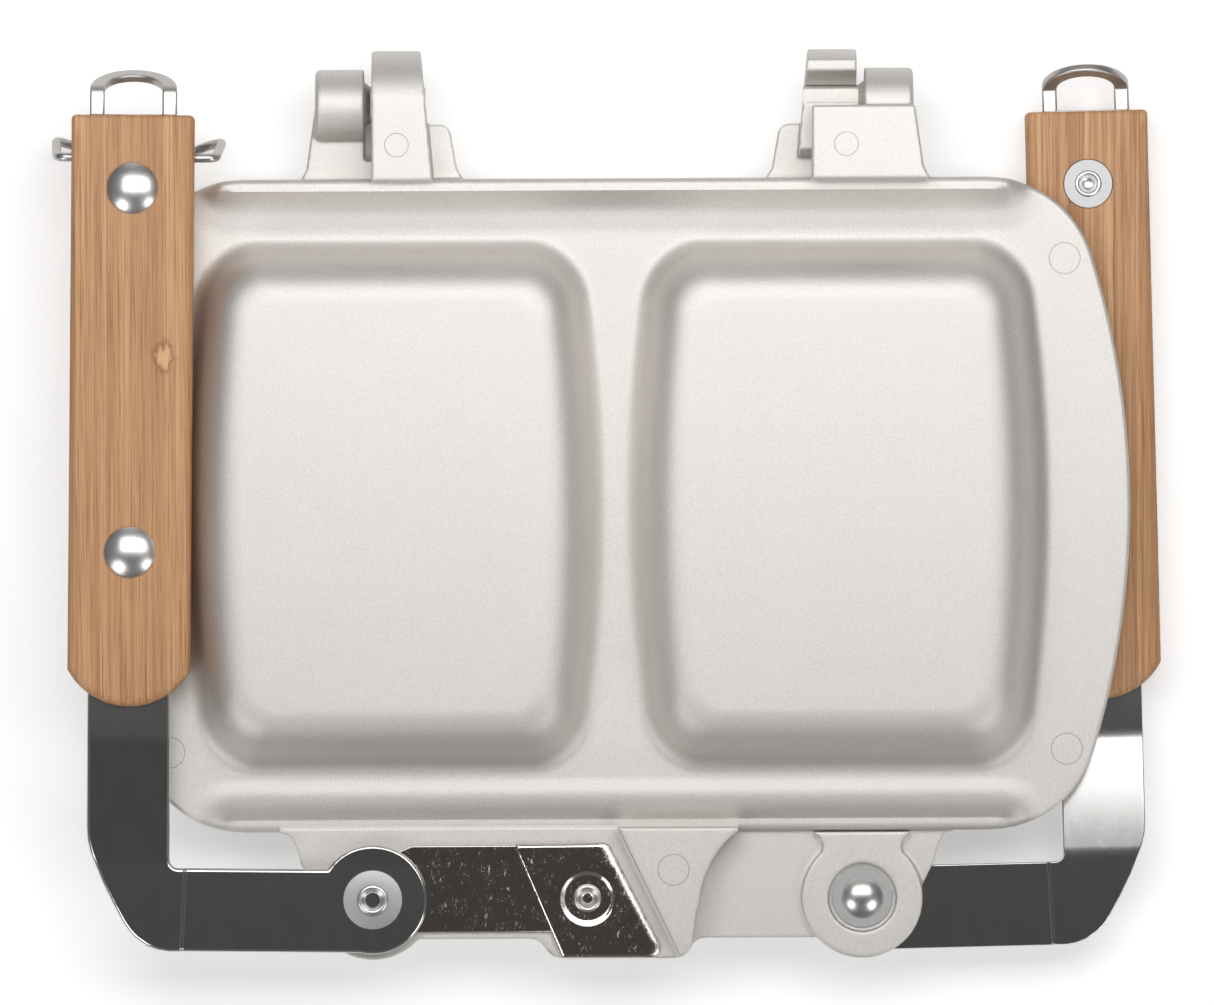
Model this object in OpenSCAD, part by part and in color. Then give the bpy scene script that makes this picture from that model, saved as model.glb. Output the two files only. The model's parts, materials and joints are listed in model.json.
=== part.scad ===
// Folding double pie iron: two identical cast plates, each with two bread pockets, hook together along
// their far edge, and two bamboo-gripped handles fold sideways over them.
// Millimetres. +X right, +Y towards the hinge, +Z up. The origin is on the table under the middle of the
// closed iron, with both handles folded in. Every upper piece is drawn in the frame of one half, whose
// parting plane is z = 0; a lower piece is the same piece turned half a turn about Y.

/* [Plates] */
// Width of a plate over its bowed sides
plate_w = 252; // [246:1:256]
// Depth of a plate between its straight edges
plate_d = 160; // [158:1:164]
// Radius of the bowed sides
side_r = 206; // [190:1:230]
// Radius of the plate corners
corner_r = 27; // [22:1:32]
// Thickness of the flange round the pockets
flange_t = 4.5; // [4:0.1:4.6]
// Thickness of the low lip along the straight edges
lip_t = 2.4; // [2:0.1:2.8]
// Width of the low lip
lip_w = 3.7; // [3:0.1:5]
// Width of the rounded step between lip and flange
step_w = 9; // [7:0.5:10]
// Height of a pocket above the parting plane
pocket_h = 20; // [18:0.5:22]
// Wall thickness of the casting
wall_t = 2.6; // [2.2:0.1:3]

/* [Pockets] */
// Width of one pocket at its foot
pocket_w = 101; // [96:0.5:101]
// Depth of one pocket at its foot
pocket_d = 127.4; // [120:0.2:130]
// Gap between the two pockets at their foot
pocket_gap = 8; // [7:0.5:10]
// How far each side bows out
pocket_bow = 5.3; // [3:0.1:6]
// Corner radius of a pocket at its foot
pocket_r = 13; // [10:0.5:16]

/* [Hinge] */
// Distance of the hinge axis in front of the plate middle
hinge_y = 98.4; // [97:0.1:100]
// Radius of a hinge hook
hook_r = 13.2; // [12.5:0.1:13.6]
// Width of a hinge hook
hook_w = 14.8; // [14:0.1:15]
// Radius of a hinge knuckle
knuckle_r = 8.6; // [8:0.1:9]
// Radius of the stub pins
pin_r = 4.4; // [4:0.1:4.8]

/* [Handles] */
// Distance of each handle pivot from the middle
pivot_x = 60; // [58:0.5:62]
// Distance of the pivots behind the plate middle
pivot_back = 96.5; // [95:0.5:98]
// Thickness of the arm strip
strip_t = 2; // [1.6:0.1:2]
// Width of the arm strip
strip_w = 20.3; // [19:0.1:20.5]
// Width of a grip
grip_w = 30; // [28:0.5:30]
// Length of a grip
grip_l = 144.6; // [140:0.2:146]
// Height of a grip, both scales together
grip_h = 10; // [9:0.2:10]
// Angle by which the folded upper handle leans to the plate
upper_lean = 0.7; // [0:0.1:1]
// Angle by which the folded lower handle leans to the plate
lower_lean = 1.2; // [0:0.1:1.2]

/* [Hidden] */
$fn = 64;

cast_metal = [0.78, 0.76, 0.73];
bright_steel = [0.80, 0.80, 0.80];
mirror_steel = [0.30, 0.27, 0.25];
satin_steel = [0.36, 0.35, 0.34];
grey_washer = [0.55, 0.55, 0.55];
bamboo = [0.76, 0.56, 0.37];

frame_x = 2.4;              // moves the middle of the whole object onto the origin
rim = 0.1;                  // half of the slit between the closed plates
eps = 0.5;                  // how far joined pieces of one casting run into each other
shaft_play = 0.05;          // radial play of every shaft in its bore

half_w = plate_w / 2;
half_d = plate_d / 2;
side_x = half_w - side_r;   // centre of the right-hand side arc
corner_y = half_d - corner_r;
corner_x = side_x + sqrt(pow(side_r - corner_r, 2) - pow(corner_y, 2));
tangent_a = atan2(corner_y, corner_x - side_x);

field_depth = 1;            // the inner face is this much lower inside its closing rim
field_inset = 8;

pocket_x = (pocket_gap + pocket_w) / 2;
foot_w = 2.7;               // hollow fillet at the foot of a pocket wall
foot_h = 3.5;
crown_w = 10.3;             // rounded shoulder above it
crown_h = pocket_h - flange_t - foot_h;
pocket_inset = foot_w + crown_w;
corner_gain = 0.45;         // how much of the inset the corner radius loses

bore_r = pin_r + shaft_play;
pin_flat = 2.8;             // half thickness over the two flats of a stub pin
mouth_half = 2.9;           // half width of the hook's mouth
mouth_tilt = 62;            // the mouth's slope, from +Y down towards the parting side
hook_x = 44.6;              // near face of the hook
hook_draft = 3;             // the hook's flank slopes, so its gusset starts this far inside it
knuckle_x = hook_x + hook_w + 1.9;
knuckle_w = 12;
cover_gap = 0.4;
cover_t = 2.2;
cover_z = hook_r + cover_gap + cover_t;
plate_edge = half_d - hinge_y;   // the plate's edge, seen from the hinge axis

lug_z = 0.3;                // underside of the lug
floor_z = 2.6;              // recess floor that the bracket sits on
lug_top = 7.5;
bracket_t = 1;
seat_z = 4.1;               // top of the bracket's pressed-up parts
arm_z = 4.2;                // underside of the arm at the pivot
corner_z = arm_z + strip_t + 0.1;
grip_mid = 10.3;            // middle plane of the grips
grip_z = grip_mid - grip_h / 2;
tang_z = grip_mid - strip_t / 2;

shaft_r = 3;
hole_r = shaft_r + shaft_play;
disc_r = 13.35;
boss_r = 15;
boss_z = -2;
well_r = 8.4;
well_z = -0.8;
washer_t = 0.8;
front_washer_t = 0.6;
dome_r = 5.1;
dome_h = 2.4;

bracket_rivet_at = [-7.4, -96.4];

grip_start = 47;            // distances along the handle, from the pivot
grip_end = grip_start + grip_l;
rivet_at = [84.7, 173.7];
grip_dome_r = 6.3;
grip_shaft_r = 2.6;
grip_washer_r = 6;
grip_washer_t = 0.6;

loop_w = 21.3;
loop_leg = 3.6;
loop_run = 6.1;             // straight run of the loop's legs before they bend
loop_tilt = 65;

bail_at = grip_end - 10.3;
wire_r = 1.15;
bail_shift = 0.8;           // the bail has slid this far across in its holes
bail_hole_r = 1.25;
bail_stub = 11.4;           // inner end of each stub, from the grip's centre line
bail_bend = 2.6;            // how far each bend of the wire reaches along its straights
bail_corners = [[16, 0, 0], [19.4, 0, 0], [20.4, 4.4, -22.5], [16, 3.3, -26.5], [10.5, 0.8, -27.1]];

// Points of an arc, both ends included.
function arc(c, r, a0, a1, n) = [for (i = [0:n]) let (a = a0 + (a1 - a0) * i / n)
    [c[0] + r * cos(a), c[1] + r * sin(a)]];

// Plate outline, drawn in by d: two bowed sides, four round corners, two straight edges.
function quarter(d) = concat(arc([side_x, 0], side_r - d, 0, tangent_a, 4),
    arc([corner_x, corner_y], corner_r - d, tangent_a, 90, 6));
function turned(points, sx, sy) = [for (p = points) [sx * p[0], sy * p[1]]];
function reversed(points) = [for (i = [len(points) - 1:-1:0]) points[i]];
function outline(d = 0) = concat(quarter(d), reversed(turned(quarter(d), -1, 1)),
    turned(quarter(d), -1, -1), reversed(turned(quarter(d), 1, -1)));

// Outline of a rounded box whose sides bow out by bow, as a ring of points at height z.
function bowed_x(x, y, hw, hd, bow) = x * (1 - bow / hw * pow(y / hd, 2));
function box_side(hw, hd, r, m) = [for (i = [1:m - 1]) [hw, (hd - r) * (2 * i / m - 1)]];
function box_ring(hw, hd, r, m) = concat(
    arc([hw - r, hd - r], r, 0, 90, 5), arc([r - hw, hd - r], r, 90, 180, 5),
    turned(box_side(hw, hd, r, m), -1, -1),
    arc([r - hw, r - hd], r, 180, 270, 5), arc([hw - r, r - hd], r, 270, 360, 5),
    box_side(hw, hd, r, m));
function ring_at(hw, hd, bow, r, m, inset, z) = [for (p = box_ring(hw - inset, hd - inset, r, m))
    [bowed_x(p[0], p[1], hw, hd, bow), p[1], z]];

// Solid through a stack of rings that all have n points.
module loft(rings) {
    n = len(rings[0]);
    k = len(rings);
    sides = [for (j = [0:k - 2]) for (i = [0:n - 1]) let (a = j * n + i, b = j * n + (i + 1) % n)
        each [[a, b + n, b], [a, a + n, b + n]]];
    caps = [[for (i = [0:n - 1]) i], [for (i = [n - 1:-1:0]) (k - 1) * n + i]];
    polyhedron(points = [for (ring = rings) each ring], faces = concat(sides, caps), convexity = 6);
}

// Wall of a pocket from foot to crown, as pairs of inset and height.
outer_wall = concat([[0, flange_t - 1]],
    [for (a = [0, 40, 70]) [foot_w * sin(a), flange_t + foot_h * (1 - cos(a))]],
    [for (a = [10, 30, 50, 68, 90]) [pocket_inset - crown_w * cos(a), pocket_h - crown_h * (1 - sin(a))]]);
inner_wall = concat([[foot_w + 1.3, rim - 1], [foot_w + 1.3, rim + field_depth], [foot_w + 2.2, 3]],
    [for (a = [0, 25, 50, 90]) [pocket_inset - (crown_w - wall_t) * cos(a),
        pocket_h - wall_t - (crown_h - wall_t) * (1 - sin(a))]]);

module pocket(wall) {
    loft([for (w = wall) ring_at(pocket_w / 2, pocket_d / 2, pocket_bow, pocket_r - corner_gain * w[0], 8,
        w[0], w[1])]);
}

// Space above the low lip, with the rounded step that rises from it to the flange.
module lip_space() {
    lip_half = 98;
    above = 10;
    rise = flange_t - lip_t;
    steps = concat([for (a = [0, 20, 40, 60, 78]) [step_w * (1 - cos(a)), lip_t + rise * sin(a)]],
        [[step_w, flange_t + 1]]);
    translate([0, half_d + above, 0])
        loft([for (s = steps) ring_at(lip_half + step_w, above + lip_w + step_w, 0, 4 + s[0], 2,
            step_w - s[0], s[1])]);
}

// Hook and gusset on the left, cover block, knuckle and stub pin on the right.
module hinge_hook() {
    draft = 5;
    lip_z = -8.2;
    jaw_z = -6.6;
    difference() {
        translate([-hook_x - hook_w, hinge_y, 0]) rotate([90, 0, 90]) linear_extrude(hook_w)
            difference() {
                union() {
                    translate([plate_edge - eps, rim]) square([eps - plate_edge, hook_r - rim]);
                    intersection() {
                        circle(hook_r);
                        union() {
                            translate([-hook_r, jaw_z]) square([2 * hook_r, hook_r - jaw_z]);
                            translate([0, lip_z]) square([hook_r, hook_r]);
                        }
                    }
                }
                circle(bore_r);
                rotate(-mouth_tilt) translate([0, -mouth_half]) square([2 * hook_r, 2 * mouth_half]);
            }
        translate([-hook_x, half_d - eps, -hook_r]) rotate([0, 0, draft]) translate([0, -eps, -1])
            cube([hook_w, 2 * hook_r + 10, 2 * hook_r + 2]);
    }
}

module hinge_gusset() {
    top = -5;
    run = 7.6;
    translate([-hook_x - hook_draft, hinge_y, rim]) linear_extrude(flange_t + 0.3)
        polygon(concat([[0, plate_edge - eps], [0, top]],
            arc([run - 3.4, top - 3], 3, 90, 20, 4),
            [[run + 1.4, plate_edge + 2.5], [run + 3, plate_edge], [run + 3, plate_edge - eps]]));
}

module hinge_knuckle() {
    chamfer = 0.8;
    neck = 1.5;
    pin_end = 46.3;
    top = -0.9;
    difference() {
        translate([hook_x + 3.7, hinge_y, rim]) linear_extrude(cover_z - rim)
            polygon([[0, plate_edge - eps], [0, top], [25.2, top], [27.3, plate_edge + 2.5],
                [28.7, plate_edge], [28.7, plate_edge - eps]]);
        translate([hook_x, hinge_y, 0]) rotate([0, 90, 0])
            cylinder(h = knuckle_x - hook_x, r = hook_r + cover_gap);
    }
    translate([knuckle_x, hinge_y, 0]) rotate([0, 90, 0]) {
        cylinder(h = knuckle_w - chamfer, r = knuckle_r);
        translate([0, 0, knuckle_w - chamfer])
            cylinder(h = chamfer, r1 = knuckle_r, r2 = knuckle_r - chamfer);
    }
    translate([knuckle_x + eps, hinge_y, 0]) rotate([0, -90, 0])
        cylinder(h = neck + eps, r1 = pin_r + 1, r2 = pin_r);
    translate([pin_end, hinge_y, 0]) rotate([90, 0, 90]) linear_extrude(knuckle_x + eps - pin_end)
        intersection() {
            circle(pin_r);
            square([2 * pin_r + 1, 2 * pin_flat], center = true);
        }
}

// Lug that carries the handle: a thin floor for the bracket and a thick end beside it.
module lug_outline() {
    low = -106.3;
    bottom = -111.2;
    translate([-pivot_x, -pivot_back]) circle(disc_r + 0.9);
    polygon(concat([[-83, 1 - half_d], [-83, -half_d]], arc([-94.5, -90], 17, 33, 8, 3),
        [[-74, -95], [-pivot_x, low], [-22, low]],
        arc([-21.5, low - 4], 4, 90, 30, 3), arc([-13, low - 0.9], 4, 220, 270, 3),
        arc([13.5, bottom + 5], 5, 270, 350, 4),
        [[19.2, -100]], arc([44, -99], 24, 176, 130, 4), [[29.6, -half_d], [29.6, 1 - half_d]]));
}

module lug() {
    wall_top = [0.7, -80.1];
    wall_foot = [15.4, -111.2];
    difference() {
        union() {
            translate([0, 0, lug_z]) linear_extrude(floor_z - lug_z) lug_outline();
            translate([0, 0, lug_z]) linear_extrude(lug_top - lug_z) intersection() {
                lug_outline();
                polygon([wall_top, [40, wall_top[1]], [40, -120], [wall_foot[0] + 3, -120], wall_foot]);
            }
            translate([-pivot_x, -pivot_back, boss_z]) cylinder(h = floor_z - boss_z, r = boss_r - 0.8);
        }
        translate([-pivot_x, -pivot_back, boss_z - 1]) cylinder(h = 8, r = hole_r);
        translate([-pivot_x, -pivot_back, boss_z - 1]) cylinder(h = well_z - boss_z + 1, r = well_r);
        translate([each bracket_rivet_at, lug_z - 1]) cylinder(h = 8, r = 2.5 + shaft_play);
        translate([each bracket_rivet_at, lug_z - 1]) cylinder(h = 2, r = 5);
    }
}

module plate() {
    color(cast_metal) difference() {
        union() {
            difference() {
                translate([0, 0, rim]) linear_extrude(flange_t - rim) polygon(outline());
                lip_space();
                mirror([0, 1, 0]) lip_space();
            }
            for (s = [-1, 1]) translate([s * pocket_x, 0, 0]) pocket(outer_wall);
            hinge_hook();
            hinge_gusset();
            hinge_knuckle();
            lug();
        }
        for (s = [-1, 1]) translate([s * pocket_x, 0, 0]) pocket(inner_wall);
        translate([0, 0, rim - 1]) linear_extrude(1 + field_depth) polygon(outline(field_inset));
    }
}

// Polished bracket: flat strip with a round pressed-up end at the pivot and a pressed-up slanted seat.
module bracket() {
    seat = [[-25.7, -83.1], [-2.2, -82.7], [11.5, -109.5], [8.6, -111.1], [-13.8, -111.1]];
    color(mirror_steel) difference() {
        union() {
            translate([0, 0, floor_z]) linear_extrude(bracket_t)
                polygon([[-pivot_x, -87.2], [-30, -83.6], [-24, -83.6], [-14.5, -105.2], [-pivot_x, -105.2]]);
            translate([0, 0, floor_z]) linear_extrude(seat_z - floor_z) polygon(seat);
            translate([-pivot_x, -pivot_back, floor_z]) cylinder(h = seat_z - floor_z, r = disc_r - 0.8);
        }
        translate([-pivot_x, -pivot_back, 0]) cylinder(h = 8, r = hole_r);
        translate([each bracket_rivet_at, 0]) cylinder(h = 8, r = 2.5 + shaft_play);
        translate([each bracket_rivet_at, floor_z + bracket_t]) cylinder(h = 2, r1 = 5.4, r2 = 8.6);
    }
}

module bracket_rivet() {
    color(bright_steel) translate([each bracket_rivet_at, 0]) difference() {
        union() {
            translate([0, 0, lug_z + 0.1]) cylinder(h = 0.9, r = 4.9);
            translate([0, 0, lug_z + 0.1]) cylinder(h = 5, r = 2.5);
            translate([0, 0, floor_z + bracket_t]) cylinder(h = 5.4 - floor_z - bracket_t, r = 3.4);
        }
        translate([0, 0, floor_z]) cylinder(h = 4, r = 2);
    }
}

// Pivot stack, from the back: dome head, washer, lug, bracket, arm, washer, rolled tube end.
module pivot_rivet() {
    head_z = well_z - washer_t;
    front_z = arm_z + strip_t + 0.05 + front_washer_t;
    tube_r = 3.86;
    ball_r = (pow(dome_r, 2) + pow(dome_h, 2)) / (2 * dome_h);
    color(bright_steel) translate([-pivot_x, -pivot_back, 0]) difference() {
        union() {
            intersection() {
                translate([0, 0, head_z - dome_h + ball_r]) sphere(ball_r);
                translate([0, 0, head_z - dome_h - 1]) cylinder(h = dome_h + 1, r = dome_r + 1);
            }
            translate([0, 0, head_z - 0.2]) cylinder(h = front_z - head_z + 1, r = shaft_r);
            translate([0, 0, front_z]) cylinder(h = 1.1, r = tube_r);
        }
        translate([0, 0, arm_z]) cylinder(h = 6, r = 2.3);
    }
}

module pivot_front_washer() {
    color(grey_washer) translate([-pivot_x, -pivot_back, arm_z + strip_t + 0.05]) difference() {
        cylinder(h = front_washer_t, r = 7.2);
        translate([0, 0, -1]) cylinder(h = 3, r = hole_r);
    }
}

module pivot_back_washer() {
    color(grey_washer) translate([-pivot_x, -pivot_back, well_z - washer_t]) difference() {
        cylinder(h = washer_t, r = 7.3);
        translate([0, 0, -1]) cylinder(h = 3, r = hole_r);
    }
}

// Places a handle piece: origin at the pivot, +Y along the folded handle.
module on_pivot(lean) {
    translate([-pivot_x, -pivot_back, 0]) rotate([0, 0, -lean]) children();
}

// Places a piece on the grip's centre line.
module on_grip(lean) {
    on_pivot(lean) translate([-pivot_x, 0, 0]) children();
}

module bail_holes() {
    for (s = [-1, 1]) translate([s * (grip_w / 2 + 1), bail_at, grip_mid]) rotate([0, -s * 90, 0])
        cylinder(h = grip_w / 2 + 1 - strip_w / 2 - 0.15, r = bail_hole_r);
}

module handle_arm(lean) {
    joggle = -46.2;
    bar_top = 7.4;
    bar_low = -13;
    outer = -pivot_x - strip_w / 2;
    inner = -pivot_x + strip_w / 2;
    bend_low = 9.3;
    bend_high = 38.4;
    color(satin_steel) on_pivot(lean) {
        difference() {
            union() {
                translate([0, 0, arm_z]) linear_extrude(strip_t) {
                    circle(disc_r);
                    polygon([[joggle - 1, bar_low], [0, bar_low], [0, bar_top], [joggle - 1, bar_top]]);
                }
                translate([joggle - 1, bar_low, arm_z])
                    cube([2, bar_top - bar_low, corner_z + strip_t - arm_z]);
                translate([0, 0, corner_z]) linear_extrude(strip_t)
                    polygon(concat([[joggle, bar_low], [joggle, bar_top], [inner, bend_low],
                        [outer + 0.9, bend_low]], arc([-47.5, 3], 16, 210, 270, 6)));
                translate([outer, 0, 0]) rotate([90, 0, 90]) linear_extrude(strip_w)
                    polygon([[bend_low - eps, corner_z], [bend_low, corner_z], [bend_high, tang_z],
                        [grip_end + eps, tang_z], [grip_end + eps, tang_z + strip_t],
                        [bend_high, tang_z + strip_t],
                        [bend_low, corner_z + strip_t], [bend_low - eps, corner_z + strip_t]]);
            }
            translate([0, 0, arm_z - 1]) cylinder(h = strip_t + 2, r = hole_r);
            for (v = rivet_at) translate([-pivot_x, v, tang_z - 1])
                cylinder(h = strip_t + 2, r = grip_shaft_r + shaft_play);
        }
        translate([-pivot_x, grip_end, grip_mid]) hanging_loop();
    }
}

// Two straight legs and a half-round bow, which meet in a mitre at the bend.
module hanging_loop() {
    loop_t = 2.2;
    mitre = 0.65;
    side = 0.05;
    outer_r = loop_w / 2;
    inner_r = outer_r - loop_leg;
    for (s = [-1, 1]) translate([s * (outer_r - loop_leg / 2), 0, 0])
        translate([side - loop_leg / 2, 0, -loop_t / 2])
            cube([loop_leg - 2 * side, loop_run + mitre, loop_t]);
    translate([0, loop_run, 0]) rotate([-loop_tilt, 0, 0]) translate([0, 0, -loop_t / 2])
        linear_extrude(loop_t)
            polygon(concat([[outer_r, -mitre]], arc([0, 0], outer_r, 0, 180, 16),
                [[-outer_r, -mitre], [-inner_r, -mitre]], arc([0, 0], inner_r, 180, 0, 16),
                [[inner_r, -mitre]]));
}

// One bamboo scale between two heights, with rounded long edges on the side named by face.
module grip_scale(lean, low, high, face) {
    round_r = 2.2;
    end_r = 17;
    sag = 9;
    sink = 0.05 + grip_washer_t;
    half = grip_w / 2;
    tang_half = strip_w / 2 + 0.1;
    back_edge = face > 0 ? low : high;
    front_edge = face > 0 ? high : low;
    inset = front_edge - face * round_r;
    color(bamboo) on_grip(lean) difference() {
        intersection() {
            translate([0, 0, low]) linear_extrude(high - low) {
                translate([-half, grip_start + sag]) square([grip_w, grip_l - sag]);
                intersection() {
                    translate([0, grip_start + end_r]) circle(end_r);
                    translate([-half, grip_start]) square([grip_w, sag + 0.2]);
                }
            }
            translate([0, grip_end + 1, 0]) rotate([90, 0, 0]) linear_extrude(grip_l + 2)
                polygon(concat([[-half, back_edge], [half, back_edge]],
                    arc([half - round_r, inset], round_r, 0, face * 90, 4),
                    arc([round_r - half, inset], round_r, face * 90, face * 180, 4)));
        }
        translate([-tang_half, grip_start - 1, tang_z]) cube([2 * tang_half, grip_l + 2, strip_t]);
        for (v = rivet_at) translate([0, v, low - 1]) {
            cylinder(h = high - low + 2, r = grip_shaft_r + shaft_play);
            if (face < 0) cylinder(h = 1 + sink, r = grip_washer_r + 0.1);
        }
        if (lean == upper_lean) bail_holes();
    }
}

module outer_scale(lean) grip_scale(lean, grip_mid, grip_z + grip_h, 1);
module inner_scale(lean) grip_scale(lean, grip_z, grip_mid, -1);

module grip_rivets(lean) {
    top = grip_z + grip_h;
    tube_z = 4.8;
    rise = 2.4;
    ball_r = (pow(grip_dome_r, 2) + pow(rise, 2)) / (2 * rise);
    color(bright_steel) on_grip(lean) for (v = rivet_at) translate([0, v, 0]) difference() {
        union() {
            intersection() {
                translate([0, 0, top + rise - ball_r]) sphere(ball_r);
                translate([0, 0, top]) cylinder(h = rise + 1, r = grip_dome_r + 1);
            }
            translate([0, 0, tube_z + 0.3]) cylinder(h = top - tube_z, r = grip_shaft_r);
            translate([0, 0, tube_z]) cylinder(h = 0.55, r = 3.3);
        }
        translate([0, 0, tube_z - 1]) cylinder(h = 5, r = 2.2);
    }
}

module grip_rivet_washers(lean) {
    color(grey_washer) on_grip(lean) for (v = rivet_at) translate([0, v, grip_z + 0.05]) difference() {
        cylinder(h = grip_washer_t, r = grip_washer_r);
        translate([0, 0, -1]) cylinder(h = 3, r = grip_shaft_r + shaft_play);
    }
}

// Wire's centre line with every corner rounded, and a tube of small facets along it.
function unit(v) = v / norm(v);
function bend(a, p, b) = [for (i = [0:4]) let (t = i / 4, from = p + unit(a - p) * bail_bend,
    to = p + unit(b - p) * bail_bend) (1 - t) * (1 - t) * from + 2 * t * (1 - t) * p + t * t * to];
function rounded(pts) = concat([pts[0]],
    [for (i = [1:len(pts) - 2]) each bend(pts[i - 1], pts[i], pts[i + 1])], [pts[len(pts) - 1]]);
function heading(line, i) = unit(line[min(i + 1, len(line) - 1)] - line[max(i - 1, 0)]);
function wire_ring(at, dir, r, sides) = let (across = unit(cross(dir, [0, 1, 0])), up = cross(dir, across))
    [for (k = [0:sides - 1]) let (a = 360 * k / sides) at + r * (cos(a) * across + sin(a) * up)];

// Spring-wire bail in its rest place: two stubs in the grip's sides, two legs and a dipped crossbar.
module bail() {
    far_side = [for (i = [len(bail_corners) - 1:-1:0]) let (p = bail_corners[i]) [-p[0], p[1], p[2]]];
    line = rounded(concat(bail_corners, far_side));
    color(bright_steel) on_grip(upper_lean) translate([bail_shift, bail_at, grip_mid]) {
        loft([for (i = [0:len(line) - 1]) wire_ring(line[i], heading(line, i), wire_r - 0.02, 8)]);
        for (s = [-1, 1]) translate([s * bail_stub, 0, 0]) rotate([0, s * 90, 0])
            cylinder(h = 17 - bail_stub, r = wire_r);
    }
}

module upper_side() {
    translate([frame_x, 0, pocket_h]) children();
}

module lower_side() {
    translate([frame_x, 0, pocket_h]) rotate([0, 180, 0]) children();
}

lower_side() plate();  // lower_plate
lower_side() bracket();  // lower_handle_bracket
lower_side() bracket_rivet();  // lower_bracket_rivet
lower_side() pivot_rivet();  // lower_pivot_rivet
lower_side() pivot_front_washer();  // lower_pivot_front_washer
lower_side() pivot_back_washer();  // lower_pivot_back_washer
upper_side() plate();  // upper_plate
upper_side() bracket();  // upper_handle_bracket
upper_side() bracket_rivet();  // upper_bracket_rivet
upper_side() pivot_rivet();  // upper_pivot_rivet
upper_side() pivot_front_washer();  // upper_pivot_front_washer
upper_side() pivot_back_washer();  // upper_pivot_back_washer
lower_side() handle_arm(lower_lean);  // lower_handle_arm
lower_side() outer_scale(lower_lean);  // lower_grip_outer_scale
lower_side() inner_scale(lower_lean);  // lower_grip_inner_scale
lower_side() grip_rivets(lower_lean);  // lower_grip_rivets
lower_side() grip_rivet_washers(lower_lean);  // lower_grip_rivet_washers
upper_side() handle_arm(upper_lean);  // upper_handle_arm
upper_side() outer_scale(upper_lean);  // upper_grip_outer_scale
upper_side() inner_scale(upper_lean);  // upper_grip_inner_scale
upper_side() grip_rivets(upper_lean);  // upper_grip_rivets
upper_side() grip_rivet_washers(upper_lean);  // upper_grip_rivet_washers
upper_side() bail();  // locking_bail
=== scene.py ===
"""Looks of the folding sandwich iron: detailed meshes, finishes, studio light and camera.

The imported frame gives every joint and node. Each sub-assembly is a class that holds its sizes in
millimetres, draws its pieces in the frame of one half of the iron (parting plane at z = 0, hinge
towards +Y) and places them on the frame. The lower half is the upper one turned about Y.
"""

import json
import logging
import math
from dataclasses import dataclass, field
from enum import Enum
from typing import Callable, Optional, Sequence, Union

import bpy
import bmesh
import numpy as np
from mathutils import Matrix, Vector


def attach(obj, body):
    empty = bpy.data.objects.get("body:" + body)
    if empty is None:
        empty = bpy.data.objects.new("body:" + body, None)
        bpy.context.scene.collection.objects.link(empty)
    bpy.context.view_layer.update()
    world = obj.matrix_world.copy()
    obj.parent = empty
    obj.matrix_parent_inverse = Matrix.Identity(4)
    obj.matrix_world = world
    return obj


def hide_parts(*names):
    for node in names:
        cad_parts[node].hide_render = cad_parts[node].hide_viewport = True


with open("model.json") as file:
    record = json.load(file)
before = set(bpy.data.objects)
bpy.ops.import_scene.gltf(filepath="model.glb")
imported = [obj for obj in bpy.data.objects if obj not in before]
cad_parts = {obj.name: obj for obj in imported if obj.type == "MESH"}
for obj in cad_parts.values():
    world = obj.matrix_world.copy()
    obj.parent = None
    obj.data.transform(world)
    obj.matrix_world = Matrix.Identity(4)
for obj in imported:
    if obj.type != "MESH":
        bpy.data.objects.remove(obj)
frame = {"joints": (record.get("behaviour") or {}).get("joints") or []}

LOG = logging.getLogger("sandwich_iron")
MM = 0.001

# Places that several pieces share, in millimetres: the handle's pivot in the half's frame, and the
# end and the middle height of a grip in the grip's frame.
PIVOT = (-60.0, -96.5)
GRIP_END = 191.6
GRIP_MID_Z = 10.3

# Small measures of the mesh drawing, in millimetres: how far a flat face keeps from the rounded edge
# beside it, the radius that stands for a point on an axis, and how near two points are joined.
FLAT_MARGIN = 0.06
POINT_R = 0.01
WELD = 0.0005

# Edges that turn by more than this angle, in degrees, stay sharp.
CREASE = 38.0
SOFT_CREASE = 50.0
WIRE_CREASE = 60.0

# A place off the iron, for a grip that shows no node of the cane.
NO_KNOT = (500.0, 0.0)

Points = np.ndarray
Colour = tuple[float, float, float]
Input = Union[float, bpy.types.NodeSocket]


class Half(Enum):
    """The two halves of the closed iron."""

    UPPER = "upper"
    LOWER = "lower"


class ScaleSide(Enum):
    """The two bamboo scales of a grip."""

    OUTER = "outer"
    INNER = "inner"


class Body(Enum):
    """The two moving bodies that each half of the iron has."""

    PLATE = "half"
    HANDLE = "handle"


class Slot(Enum):
    """The record's material slots."""

    CASTING = "cast_aluminium"
    BRACKET = "polished_steel"
    RIVET = "rivet_steel"
    WASHER = "washer_steel"
    ARM = "arm_steel"
    GRIP = "bamboo"
    BAIL = "bail_wire"


# ---------------------------------------------------------------- frames and outlines


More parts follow.
